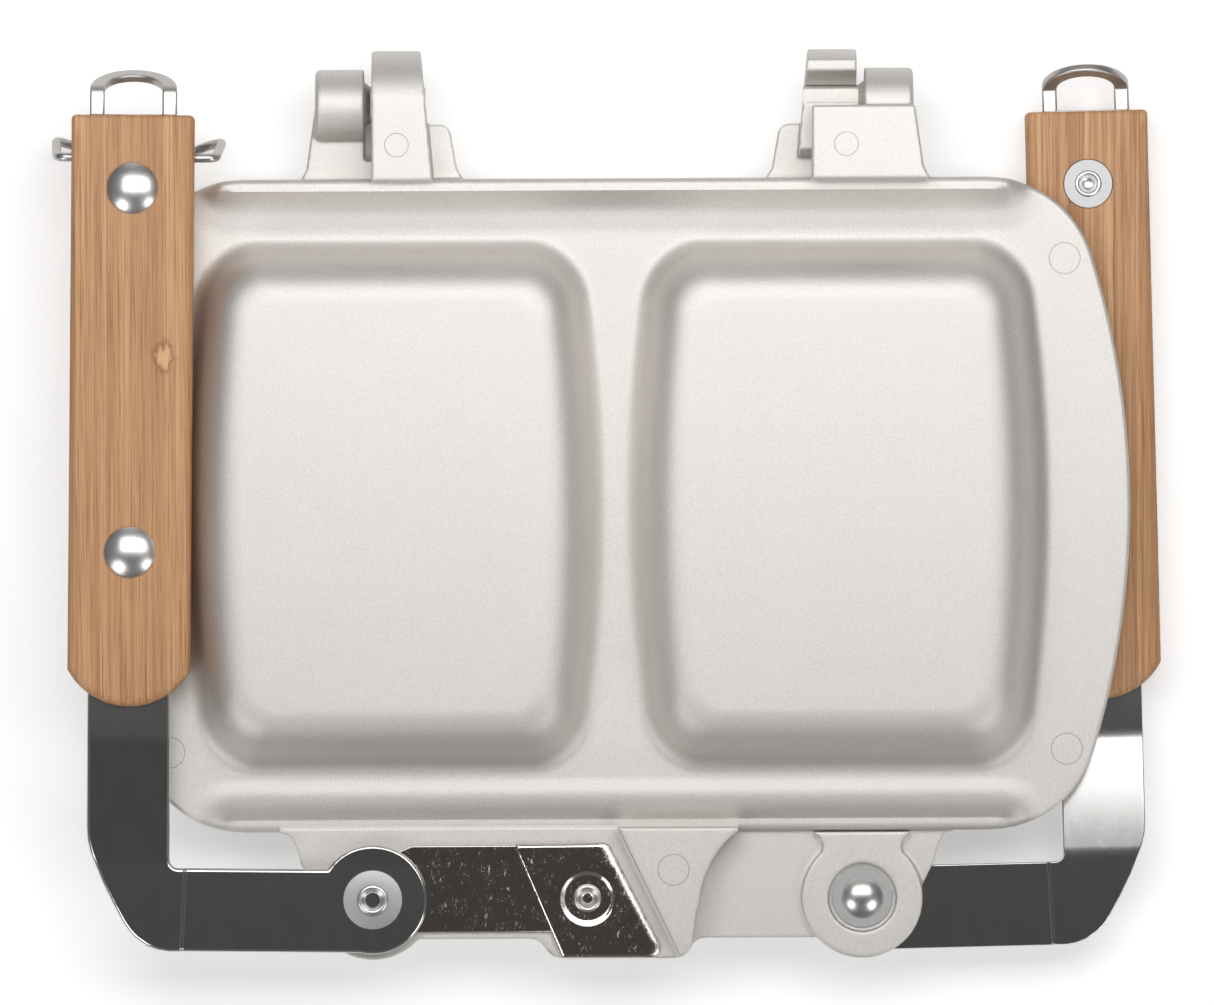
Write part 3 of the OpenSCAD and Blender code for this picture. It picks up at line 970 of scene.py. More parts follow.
class Palette:
    """All finishes of the iron, built once."""

    def __init__(self) -> None:
        """Builds every material."""
        self.cast = BlastedAluminium().material()
        # Ejector-pin rings: a darker copy of the cast finish, painted shade that stands for the shade
        # in each ring's fine step.
        self.painted_groove_shade = BlastedAluminium("cast_mark_painted_shade", (0.50, 0.48, 0.46), (0.40, 0.385, 0.37)).material()
        self.coating = NonStickCoating().material()
        self.arm = SatinSteel().material()
        self.mirror = ScuffedMirror().material()
        self.bright = BrightSteel().material()
        self.loop = BrightSteel("loop_steel", (0.60, 0.575, 0.55), 0.32).material()
        self.wire = BrightSteel("bail_wire", (0.60, 0.585, 0.57), 0.24).material()
        self.washer = GreyWasher().material()
        self.bamboo = {Half.UPPER: Bamboo("bamboo_upper").material(),
                       Half.LOWER: Bamboo("bamboo_lower", shift=2.1, knot=NO_KNOT).material()}


# ---------------------------------------------------------------- cast plate


@dataclass
class Part:
    """A sub-assembly of one half of the iron.

    Attributes:
        space: the half that it belongs to.
    """

    space: HalfFrame

    def fit(self, piece: str, shape: Union[Sketch, bpy.types.Mesh], slot: Slot,
            materials: Sequence[bpy.types.Material], node: str = "",
            matrix: Optional[Matrix] = None, body: Body = Body.PLATE, sharp: float = CREASE) -> None:
        """Places one of the half's pieces.

        Args:
            piece: the piece's name within the half.
            shape: its sketch or mesh, in millimetres.
            slot: its material slot.
            materials: its finishes.
            node: the half's node that it stands for, if any.
            matrix: from the shape's frame to the row frame; the plate's frame if left out.
            body: the half's body that it rides on.
            sharp: edges that turn by more than this angle, in degrees, stay sharp.
        """
        space = self.space
        mesh = shape.mesh() if isinstance(shape, Sketch) else shape
        nodes = [space.node(node)] if node else []
        at = space.plate() if matrix is None else matrix
        place(mesh, space.node(piece), at, space.node(body.value), materials, nodes, sharp)


def mark_profile(radius: float, surface: float) -> list:
    """Closed profile of the faint ring that an ejector pin leaves on a cast face.

    Args:
        radius: the ring's radius.
        surface: height of the face that it lies on.

    Returns:
        (radius, height) pairs for Sketch.lathe.
    """
    high, low, half = surface + 0.025, surface - 0.05, 0.16
    return [(radius - half, low), (radius - half / 2, high), (radius + half / 2, high),
            (radius + half, low), (radius - half, low)]


@dataclass
class PlateShell(Part):
    """One cast plate: flange, rolled steps along two edges, two pockets and the coated inside.

    The edge along the hinge rises to a rim, the one along the handle has a low bead and falls to a
    thin lip. Both are drawn by their slopes against the distance from the lip.
    """

    marks: tuple[tuple[float, float], ...] = ((110.2, 60.0), (110.2, -60.2), (-109.7, -60.2),
                                              (-109.7, 60.0))
    mark_r: float = 3.8
    width: float = 252.0
    depth: float = 160.0
    side_r: float = 206.0
    corner_r: float = 27.0
    flange_t: float = 4.5
    lip_w: float = 3.0
    lip_half: float = 98.0
    lip_corner: float = 4.0
    fade_from: float = 97.0
    fade_w: float = 9.0
    hinge_slopes: tuple[tuple[float, float], ...] = (
        (0.0, -1.25), (2.6, -1.05), (3.8, -0.55), (5.1, -0.22), (6.5, -0.14), (8.7, -0.14), (10.9, 0.0))
    handle_slopes: tuple[tuple[float, float], ...] = (
        (0.0, 0.72), (2.0, 0.68), (3.4, 0.46), (4.9, 0.2), (6.3, 0.0), (7.4, -0.13), (9.2, -0.15),
        (10.6, 0.0))
    wall_t: float = 2.6
    pocket_w: float = 101.0
    pocket_d: float = 127.4
    pocket_gap: float = 8.0
    pocket_bow: float = 5.3
    pocket_r: float = 13.0
    pocket_h: float = 20.0
    corner_gain: float = 0.45
    wall_angles: tuple[tuple[float, float], ...] = (
        (-2.4, 0.0), (2.6, 75.0), (5.0, 55.0), (7.0, 39.0), (9.0, 24.0), (11.0, 12.0), (14.0, 0.0))
    inner_foot: float = 3.2
    inner_w: float = 7.7
    inner_bend_w: float = 9.8
    inner_bend_h: float = 9.4
    rim: float = 0.1
    edge_r: float = 1.8
    side_edge: float = 1.0
    rim_foot: float = 0.5
    field_inset: float = 8.0
    split_angle: float = 33.8
    side_steps: int = 44
    end_steps: int = 40
    corner_steps: int = 26
    inner_steps: int = 16

    def __post_init__(self) -> None:
        """Works out the derived sizes."""
        self.half_w, self.half_d = self.width / 2, self.depth / 2
        self.side_x = self.half_w - self.side_r
        self.corner_y = self.half_d - self.corner_r
        reach = math.sqrt((self.side_r - self.corner_r) ** 2 - self.corner_y ** 2)
        self.corner_x = self.side_x + reach
        self.tangent = math.degrees(math.atan2(self.corner_y, reach))
        self.pocket_x = (self.pocket_gap + self.pocket_w) / 2

    def pocket_loop(self, inset: float) -> Points:
        """Draws the outline of the right-hand pocket.

        Args:
            inset: how far the outline is drawn in, in millimetres.

        Returns:
            The outline, which starts at the lower end of its right side.
        """
        half_w, half_d = self.pocket_w / 2 - inset, self.pocket_d / 2 - inset
        r = max(self.pocket_r - self.corner_gain * inset, 0.5)
        ex, ey = half_w - r, half_d - r
        sides, ends = self.side_steps, self.end_steps
        along = np.linspace(-1, 1, sides, endpoint=False)
        over = np.linspace(-1, 1, ends, endpoint=False)
        fine = np.radians(np.linspace(0, 90, self.corner_steps, endpoint=False))
        small = np.radians(np.linspace(0, 90, self.inner_steps, endpoint=False))
        parts = [
            np.stack([np.full(sides, half_w), along * ey], 1),
            np.stack([ex + r * np.cos(fine), ey + r * np.sin(fine)], 1),
            np.stack([-over * ex, np.full(ends, half_d)], 1),
            np.stack([-ex - r * np.sin(small), ey + r * np.cos(small)], 1),
            np.stack([np.full(sides, -half_w), -along * ey], 1),
            np.stack([-ex - r * np.cos(small), -ey - r * np.sin(small)], 1),
            np.stack([over * ex, np.full(ends, -half_d)], 1),
            np.stack([ex + r * np.sin(fine), -ey - r * np.cos(fine)], 1)]
        loop = np.concatenate(parts)
        bow = self.pocket_bow / (self.pocket_w / 2)
        loop[:, 0] *= 1 - bow * (loop[:, 1] / (self.pocket_d / 2)) ** 2
        loop[:, 0] += self.pocket_x
        return loop

    def split_y(self, inset: float) -> float:
        """Height in plan of the line between a pocket's field and the edge strip."""
        return self.corner_y + (self.corner_r - inset) * math.sin(math.radians(self.split_angle))

    def field_loop(self, inset: float) -> Points:
        """Draws the outline of the field round a pocket.

        Args:
            inset: distance from the plate's outline, in millimetres.

        Returns:
            The outline, point for point beside the pocket's.
        """
        radius, line = self.side_r - inset, self.split_y(inset)
        along = np.linspace(-1, 1, self.side_steps, endpoint=False)
        swing = np.radians(self.tangent) * along
        right = np.stack([self.side_x + radius * np.cos(swing), radius * np.sin(swing)], 1)
        bend_n, bend = self.corner_steps // 2, self.corner_r - inset
        turn = np.radians(np.linspace(self.tangent, self.split_angle, bend_n, endpoint=False))
        corner = np.stack([self.corner_x + bend * np.cos(turn), self.corner_y + bend * np.sin(turn)], 1)
        end_x = self.corner_x + bend * math.cos(math.radians(self.split_angle))
        outer_x, inner_x, low_y = 88.0, 20.0, 52.0
        shelf = np.linspace(end_x, outer_x, self.corner_steps - bend_n, endpoint=False)
        top = np.linspace(outer_x, inner_x, self.end_steps, endpoint=False)
        near_n = self.inner_steps // 2
        near = np.linspace(inner_x, 0, near_n, endpoint=False)
        down = np.linspace(line, low_y, self.inner_steps - near_n, endpoint=False)
        left = low_y * -along
        upper = [corner, self.level(shelf, line), self.level(top, line), self.level(near, line),
                 np.stack([np.zeros(len(down)), down], 1)]
        upper_loop = np.concatenate(upper)
        left_loop = np.stack([np.zeros(len(left)), left], 1)
        lower = np.concatenate([upper_loop[1:], left_loop[:1]])[::-1] * [1, -1]
        return np.concatenate([right, upper_loop, left_loop, lower])

    @staticmethod
    def level(xs: Points, y: float) -> Points:
        """Points with the given x at one y."""
        return np.stack([xs, np.full(len(xs), y)], 1)

    def edge_fade(self, plan: Points) -> Points:
        """Share of the rim and lip at plan points: 1 along the edges, 0 past their ends."""
        return 1 - smoothstep((np.abs(plan[:, 0]) - self.fade_from) / self.fade_w)

    def top_height(self, plan: Points) -> Points:
        """Height of the flange, with its rim along the hinge and its bead and lip opposite.

        Args:
            plan: plan points.

        Returns:
            The height at each point.
        """
        x, y = np.abs(plan[:, 0]), np.abs(plan[:, 1])
        reach = 10.0
        qx = x - (self.lip_half - self.lip_corner)
        qy = (self.half_d + reach - y) - (self.lip_w + reach - self.lip_corner)
        outside = np.hypot(np.maximum(qx, 0), np.maximum(qy, 0))
        gap = outside + np.minimum(np.maximum(qx, qy), 0) - self.lip_corner
        rise = np.where(plan[:, 1] > 0, from_slopes(self.hinge_slopes, gap),
                        from_slopes(self.handle_slopes, gap))
        return self.flange_t + rise * self.edge_fade(plan)

    def edge_gap(self, plan: Points) -> Points:
        """Distance of plan points from the plate's outline.

        Args:
            plan: plan points inside the outline.

        Returns:
            The distance of each point, in millimetres.
        """
        x, y = np.abs(plan[:, 0]), np.abs(plan[:, 1])
        side = self.side_r - np.hypot(x - self.side_x, y)
        corner = self.corner_r - np.hypot(x - self.corner_x, y - self.corner_y)
        in_corner = (x > self.corner_x) & (y > self.corner_y)
        in_corner &= np.arctan2(y - self.corner_y, x - self.corner_x) > math.radians(self.tangent)
        return np.where(in_corner, corner, np.minimum(side, self.half_d - y))

    def inside_height(self, plan: Points) -> Points:
        """Height of the closing rim and of the slightly sunk field inside it."""
        return self.rim + smoothstep((self.edge_gap(plan) - self.field_inset) / 0.7)

    def pocket_rows(self) -> list:
        """Draws the pocket's outside.

        Returns:
            The rows, from the middle of its top down to the flange.
        """
        rows = [lifted(self.pocket_loop(inset), self.pocket_h) for inset in (44.0, 32.0, 22.0, 16.0)]
        at, angle = np.array(self.wall_angles).T
        insets = np.concatenate([np.linspace(at[-1], at[1], 24), np.linspace(at[1], at[0], 14)[1:]])
        fine = np.linspace(at[-1], at[0], 300)
        slopes = np.tan(np.radians(np.interp(fine, at, angle)))
        drop = np.append(0.0, np.cumsum((slopes[1:] + slopes[:-1]) / 2))
        drop *= (self.pocket_h - self.flange_t) / drop[-1]
        return rows + [lifted(self.pocket_loop(inset), self.pocket_h - fallen)
                       for inset, fallen in zip(insets, np.interp(-insets, -fine, drop))]

    def inside_rows(self) -> list:
        """Draws the pocket's inside.

        Returns:
            The rows, from its mouth up to the middle of its top.
        """
        mouth, drop = self.rim + 1.0, self.inner_foot
        rows = [lifted(self.pocket_loop(drop + 0.25 * k), mouth + 0.12 * k * k) for k in range(1, 5)]
        high = self.pocket_h - self.wall_t
        rows.append(lifted(self.pocket_loop(drop + 1.7), mouth + 3.4))
        for a in np.radians(np.linspace(4, 90, 16)):
            inset = drop + self.inner_bend_w - self.inner_w * math.cos(a)
            rows.append(lifted(self.pocket_loop(inset), high - self.inner_bend_h * (1 - math.sin(a))))
        return rows + [lifted(self.pocket_loop(inset), high) for inset in (18.0, 30.0, 44.0)]

    def strip_rows(self, inset: float, side: int, height: Callable[[Points], Points]) -> list:
        """Rows of the strip along one edge, from the split line out to the edge.

        Args:
            inset: distance of the strip's end from the plate's outline.
            side: 1 for the hinge edge, -1 for the handle edge.
            height: gives the height of plan points.

        Returns:
            The rows, each running towards x = 0.
        """
        base = self.field_loop(inset)
        line = self.split_y(inset)
        shelf = base[(np.abs(base[:, 1] - line) < 1e-6) & (base[:, 0] > 1e-9)]
        xs = np.sort(np.append(shelf[:, 0], 0.0))[::-1]
        fold = self.half_d - self.lip_w
        slope = np.linspace(self.split_y(self.edge_r), fold, 34)
        ys = np.concatenate([slope, np.linspace(fold + 0.12, self.half_d - self.edge_r, 6)])
        rows = []
        for y in ys:
            sine = min((y - self.corner_y) / (self.corner_r - self.edge_r), 1.0)
            bend = self.corner_r - inset
            end = self.corner_x + bend * math.sqrt(max(1 - sine * sine, 0.0))
            plan = self.level(xs / xs[0] * end, side * (self.corner_y + bend * sine))
            rows.append(lifted(plan, height(plan)))
        return rows

    def rim_rows(self, top: Points) -> list:
        """Rows over the plate's rounded edge, from its top row to the closing rim.

        Args:
            top: the top row along the half outline, at an inset of edge_r.

        Returns:
            The rows, outwards, down and in again.
        """
        plan, height = top[:, :2], top[:, 2]
        x, y = plan[:, 0], plan[:, 1]
        flat = x <= self.corner_x + 1e-6
        turn = np.degrees(np.arctan2(np.abs(y) - self.corner_y, x - self.corner_x))
        side = (~flat) & (turn < self.tangent - 1e-6)
        out = np.stack([np.zeros(len(x)), np.sign(y)], 1)
        bend = np.stack([x - self.corner_x, y - np.sign(y) * self.corner_y], 1)
        bow = np.stack([x - self.side_x, y], 1)
        out = np.where((~flat & ~side)[:, None], bend, out)
        out = np.where((side | (np.abs(y) < self.corner_y))[:, None], bow, out)
        out /= np.linalg.norm(out, axis=1, keepdims=True)
        r, foot = self.edge_r, self.rim_foot
        lip = self.edge_fade(plan) * (np.abs(y) > self.corner_y)
        width = (self.side_edge + (r - self.side_edge) * lip)[:, None]
        drop = width[:, 0] * 0.85
        rows = [top]
        rows += [lifted(plan + out * (r - width * (1 - math.sin(a))), height - drop * (1 - math.cos(a)))
                 for a in np.radians(np.linspace(0, 90, 9))]
        rows += [lifted(plan + out * (r - foot * (1 - math.cos(a))),
                        self.rim + foot * (1 - math.sin(a))) for a in np.radians(np.linspace(0, 90, 5))]
        return rows

    def half_sketch(self) -> Sketch:
        """Draws the right-hand half of the plate.

        Returns:
            The sketch, open at x = 0.
        """
        sketch = Sketch()
        outer, inner = self.field_loop(self.edge_r), self.field_loop(self.rim_foot)
        foot, mouth = self.pocket_loop(self.wall_angles[0][0]), self.pocket_loop(self.inner_foot)
        rows = self.pocket_rows()
        for t in np.linspace(0, 1, 16)[1:]:
            plan = foot + (outer - foot) * t
            rows.append(lifted(plan, self.top_height(plan)))
        sketch.band(rows, caps=False)
        sketch.faces.append(tuple(range(len(foot))))
        sketch.finishes.append(0)
        spots = np.concatenate([np.linspace(0, 0.29, 3), np.linspace(0.31, 0.36, 5), [0.5, 0.75, 1.0]])
        rows = [lifted(inner + (mouth - inner) * t, self.inside_height(inner + (mouth - inner) * t))
                for t in spots]
        rows += self.inside_rows()
        base = len(sketch.points)
        sketch.band(rows, caps=False, finish=1)
        last = base + (len(rows) - 1) * len(foot)
        sketch.faces.append(tuple(last + i for i in reversed(range(len(foot)))))
        sketch.finishes.append(1)
        right = lifted(outer[:self.side_steps], self.flange_t)
        corner = lifted(outer[self.side_steps:self.side_steps + self.corner_steps // 2], self.flange_t)
        quarters = {}
        for side in (1, -1):
            strip = self.strip_rows(self.edge_r, side, self.top_height)
            under = self.strip_rows(self.rim_foot, side, self.inside_height)
            sketch.band([row[::side] for row in strip], closed=False, caps=False)
            sketch.band([row[::side] for row in under][::-1], closed=False, caps=False, finish=1)
            column = np.array([row[0] for row in strip])
            quarters[side] = np.concatenate([corner * [1, side, 1], column, strip[-1][1:]])
        top = np.concatenate([quarters[-1][::-1], right[1:], quarters[1]])
        sketch.band(self.rim_rows(top), closed=False, caps=False)
        return sketch

    def build(self, palette: Palette) -> None:
        """Builds the plate's shell.

        Args:
            palette: the finishes.
        """
        sketch = self.half_sketch()
        other = Sketch([(-x, y, z) for x, y, z in sketch.points],
                       [face[::-1] for face in sketch.faces], sketch.finishes)
        count = len(sketch.points)
        sketch.points += other.points
        sketch.faces += [tuple(count + v for v in face) for face in other.faces]
        sketch.finishes += other.finishes
        # Ejector-pin rings, in the darker finish that paints their shade.
        for mark in self.marks:
            first = len(sketch.faces)
            sketch.lathe(mark_profile(self.mark_r, self.flange_t), mark, 48)
            sketch.finishes[first:] = [2] * (len(sketch.faces) - first)
        self.fit("plate_shell", sketch, Slot.CASTING,
                 [palette.cast, palette.coating, palette.painted_groove_shade], "plate")


# ---------------------------------------------------------------- castings on the plate


def edge_section(side: int, sunk: float = 0.06) -> list:
    """Section of the plate's straight edge in the YZ plane, just below its surface.

    Args:
        side: 1 for the hinge edge, -1 for the handle edge.
        sunk: how far below the plate's surface it lies, in millimetres.

    Returns:
        (y, z) points, anticlockwise seen from +X.
    """
    shell = PlateShell(HalfFrame(Half.UPPER))
    fold, edge = shell.half_d - shell.lip_w, shell.half_d - sunk
    root, bevel, drop = 62.0, 0.3, 0.85 * shell.edge_r
    underside = [(root, 1.6), (70.8, 1.6), (72.6, 0.5), (edge - bevel, 0.3), (edge, 0.7)]
    ys = np.concatenate([[root], np.linspace(root + 4, fold, 14),
                         [fold + 0.3, shell.half_d - shell.edge_r]])
    heights = shell.top_height(np.column_stack([np.zeros(len(ys)), side * ys])) - sunk
    points = underside + [(edge, heights[-1] - drop),
                          (edge - 0.3 * drop, heights[-1] - 0.3 * drop)]
    points += [(float(y), float(z)) for y, z in zip(ys[::-1], heights[::-1])]
    return points if side > 0 else [(-y, z) for y, z in points[::-1]]


@dataclass
class HingeCasting(Part):
    """Hook and gusset on the left, cover block and knuckle on the right, with the stub pin."""

    axis_y: float = 98.4
    edge: float = -18.9
    hook_r: float = 13.2
    hook_from: float = -59.4
    hook_to: float = -44.6
    flank_draft: float = 5.0
    bore_r: float = 4.56
    jaw_z: float = -6.6
    lip_z: float = -8.2
    mouth_half: float = 2.95
    mouth_tilt: float = 62.0
    cover_r: float = 13.7
    cover_z: float = 15.8
    cover_from: float = 48.3
    knuckle_from: float = 61.3
    knuckle_to: float = 73.3
    knuckle_r: float = 8.6
    chamfer: float = 0.8
    pin_r: float = 4.4
    pin_flat: float = 2.8
    pin_end: float = 46.3
    neck: float = 1.5
    mark_r: float = 2.9
    marks: tuple[tuple[float, float], ...] = ((-53.3, 88.2), (56.7, 88.0))
    foot_z: float = 0.1
    foot_end: float = 79.5
    flank_from: float = 79.5
    gusset_w: float = 10.6
    gusset_z: float = 4.9
    block_foot: float = 77.0
    block_waist: float = 75.6
    block_top: float = 73.5

    def hook_outline(self) -> list:
        """Draws the outline of the hook with its slanted mouth.

        Returns:
            (y, z) points, anticlockwise seen from +X.
        """
        tilt = math.radians(self.mouth_tilt)
        along, side = (math.cos(tilt), -math.sin(tilt)), (math.sin(tilt), math.cos(tilt))
        slot = math.degrees(math.asin(self.mouth_half / self.bore_r))
        drop = math.degrees(math.asin(-self.jaw_z / self.hook_r))
        nose = math.degrees(math.asin(-self.lip_z / self.hook_r))
        reach = (-self.lip_z + self.mouth_half * side[1]) / -along[1]
        tip = self.mouth_half * side[0] + reach * along[0]
        points = [(self.edge, self.foot_z), (-self.hook_r, self.foot_z)]
        points += arc((0, 0), self.hook_r, 180, 180 + drop, 6) + [(0.1, self.jaw_z)]
        points += arc((0, 0), self.bore_r, 360 - self.mouth_tilt - slot, slot - self.mouth_tilt, 40)
        points += [(tip, self.lip_z)] + arc((0, 0), self.hook_r, -nose, 90, 28)
        points += [(self.edge, self.hook_r)]
        return [(y + self.axis_y, z) for y, z in points]

    def hook(self, sketch: Sketch) -> None:
        """Adds the hook, narrowed towards its tip, and its gusset.

        Args:
            sketch: the castings so far.
        """
        first = len(sketch.points)
        sketch.across(self.hook_outline(), self.hook_from, self.hook_to)
        slope = math.tan(math.radians(self.flank_draft))
        for i in range(first, len(sketch.points)):
            x, y, z = sketch.points[i]
            if x > self.hook_to - 1:
                sketch.points[i] = (x - slope * max(y - self.flank_from, 0), y, z)
        root, top = self.axis_y + self.edge, self.axis_y - 5
        at = self.hook_to - 3
        end = at + self.gusset_w
        sketch.prism([(at, root), (end, root), (end, root + 0.5), (at + 9, root + 3)]
                     + arc((at + 4.6, top - 3), 3, 20, 90, 4) + [(at, top)], self.foot_z, self.gusset_z)

    def cover(self, sketch: Sketch) -> None:
        """Adds the hollow block over the other half's hook and the solid block beside it.

        Args:
            sketch: the castings so far.
        """
        top = self.axis_y - 0.9
        hollow = arc((0, 0), self.cover_r, 180, 93.8, 20)
        section = [(self.edge, self.foot_z)] + hollow
        section += [(-0.9, self.cover_z), (self.edge, self.cover_z)]
        section = [(y + self.axis_y, z) for y, z in section]
        sketch.across(section, self.cover_from, self.knuckle_from + 0.5)
        root = self.axis_y + self.edge
        sketch.prism([(self.knuckle_from, root), (self.block_foot, root),
                      (self.block_foot, root + 0.5), (self.block_waist, root + 3),
                      (self.block_top, top), (self.knuckle_from, top)], self.foot_z, self.cover_z)

    def knuckle(self, sketch: Sketch) -> None:
        """Adds the knuckle as a turned shape along X.

        Args:
            sketch: the castings so far.
        """
        first = len(sketch.points)
        sketch.lathe([(0, self.knuckle_to), (self.knuckle_r - self.chamfer, self.knuckle_to),
                      (self.knuckle_r, self.knuckle_to - self.chamfer),
                      (self.knuckle_r, self.knuckle_from), (0, self.knuckle_from)], count=72)
        sketch.turned(self.along_x(), first)

    def along_x(self) -> Matrix:
        """Turns a shape drawn along Z onto the hinge axis."""
        return Matrix.Translation((0, self.axis_y, 0)) @ Matrix.Rotation(math.pi / 2, 4, "Y")

    def pin(self) -> Sketch:
        """Draws the stub pin with its two flats, its cone and its rounded end.

        Returns:
            The sketch.
        """
        r, end = self.pin_r, self.pin_end
        profile = [(0, self.knuckle_from + 1), (r + 1.4, self.knuckle_from + 1),
                   (r + 1.2, self.knuckle_from), (r + 0.9, self.knuckle_from - 0.3),
                   (r, self.knuckle_from - self.neck), (r, end + 0.5), (r - 0.15, end + 0.15),
                   (r - 0.5, end), (0, end)]
        sketch = Sketch().lathe(profile, count=96)
        neck_at = self.knuckle_from - self.neck
        for i, (x, y, z) in enumerate(sketch.points):
            flat = self.pin_flat + max(z - neck_at, 0) * 2.2
            sketch.points[i] = (min(max(x, -flat), flat), y, z)
        return sketch.turned(self.along_x())

    def build(self, palette: Palette) -> None:
        """Builds the cast hinge parts and the stub pin.

        Args:
            palette: the finishes.
        """
        sketch = Sketch()
        self.hook(sketch)
        self.cover(sketch)
        self.knuckle(sketch)
        foot = edge_section(1)
        sketch.across(foot, self.hook_from - 2.5, self.hook_to + 10)
        sketch.across(foot, self.cover_from - 2.5, self.foot_end)
        self.fit("hinge_casting", sketch.cast(), Slot.CASTING, [palette.cast])
        # Ejector-pin rings, in the darker finish that paints their shade.
        rings = Sketch()
        for surface, at in zip((self.hook_r, self.cover_z), self.marks):
            rings.lathe(mark_profile(self.mark_r, surface), at, 48)
        self.fit("hinge_marks", rings, Slot.CASTING, [palette.painted_groove_shade])
        self.fit("stub_pin", self.pin(), Slot.CASTING, [palette.cast])


@dataclass
class LugCasting(Part):
    """Lug under the handle: thin floor, round boss with its counterbore and a raised end."""

    low_z: float = 0.3
    floor_z: float = 2.55
    top_z: float = 7.5
    boss_r: float = 14.8
    boss_z: float = -2.0
    well_r: float = 8.4
    well_z: float = -0.8
    foot_from: float = -85.5
    foot_to: float = 32.5
    mark_r: float = 3.8
    mark_at: tuple[float, float] = (13.7, -89.4)

    def floor(self) -> list:
        """Outline of the lug's floor."""
        return ([(-83, -79), (-83, -80)] + arc((-94.5, -90), 17, 33, 8, 3)
                + [(-74, -95), (-60, -106.3), (-22, -106.3)] + arc((-21.5, -110.3), 4, 90, 30, 3)
                + arc((-13, -107.2), 4, 220, 270, 3) + self.free_end(270))

    def neck(self) -> list:
        """Draws the flared neck between the boss and the plate's edge.

        Returns:
            (x, y) points, anticlockwise.
        """
        x = PIVOT[0]
        side = [(12.2, -80.4), (10.4, -81.6), (9.6, -83.2), (9.7, -85.0), (10.6, -87.5)]
        return [(x - u, v) for u, v in side] + [(x + u, v) for u, v in side[::-1]]

    @staticmethod
    def free_end(start: float) -> list:
        """Outline of the lug's right-hand end, from its lower corner up to the plate."""
        return (arc((13.5, -106.2), 5, start, 350, 5) + [(19.2, -100)]
                + arc((44, -99), 24, 176, 130, 6) + [(29.6, -80), (29.6, -79)])

    def build(self, palette: Palette) -> None:
        """Builds the lug.

        Args:
            palette: the finishes.
        """
        sketch = Sketch().prism(self.floor(), self.low_z, self.floor_z)
        raised = [(0.2, -79), (0.7, -80.1), (15.4, -110.8)] + self.free_end(292)
        sketch.prism(raised, self.low_z, self.top_z)
        sketch.lathe([(0, self.floor_z), (self.boss_r, self.floor_z), (self.boss_r, self.boss_z),
                      (self.well_r, self.boss_z), (self.well_r, self.well_z), (0, self.well_z)],
                     PIVOT)
        sketch.prism(self.neck(), self.boss_z, self.floor_z)
        sketch.across(edge_section(-1), self.foot_from, self.foot_to)
        # Ejector-pin ring, in the darker finish that paints its shade.
        ring = Sketch().lathe(mark_profile(self.mark_r, self.top_z), self.mark_at, 48)
        self.fit("lug_mark", ring, Slot.CASTING, [palette.painted_groove_shade])
        self.fit("lug_casting", sketch.cast(), Slot.CASTING, [palette.cast])


# ---------------------------------------------------------------- brackets, rivets, washers


def roll_end(outer: float, hole: float, top: float, floor: float) -> list:
    """Profile of a rolled tube end, from the bottom of its hole over the rim to its outside.

    Args:
        outer: outer radius.
        hole: radius of the hole.
        top: height of the rim.
        floor: height of the hole's bottom.

    Returns:
        (radius, height) pairs for Sketch.lathe.
    """
    r = (outer - hole) / 2
    rim = arc((hole + r, top - r), r, 180, 0, 10)
    dish = [(hole * t, floor + 0.55 * hole * t ** 3) for t in (0.0, 0.3, 0.5, 0.65, 0.8, 0.9)]
    return dish + [(hole, floor + 0.6 * hole)] + rim


def dome(radius: float, rise: float, base: float, rim: float = 0.2) -> list:
    """Profile of a domed head.

    Args:
        radius: the head's radius.
        rise: its height.
        base: height of the face that it lies on.
        rim: height of its straight edge.

    Returns:
        (radius, height) pairs for Sketch.lathe, from the top down.
    """
    ball = (radius ** 2 + (rise - rim) ** 2) / (2 * (rise - rim))
    end = math.asin(radius / ball)
    cap = [(ball * math.sin(t), base + rise - ball * (1 - math.cos(t)))
           for t in np.linspace(0, end, 14)]
    return cap + [(radius + 0.03, base + rim * 0.6), (radius - 0.05, base)]


def ring_profile(inner: float, outer: float, low: float, high: float, edge: float = 0.12) -> list:
    """Closed profile of a flat ring with slightly rounded edges."""
    return [(inner, high), (outer - edge, high), (outer - edge * 0.3, high - edge * 0.3),
            (outer, high - edge), (outer, low + edge), (outer - edge, low), (inner, low), (inner, high)]


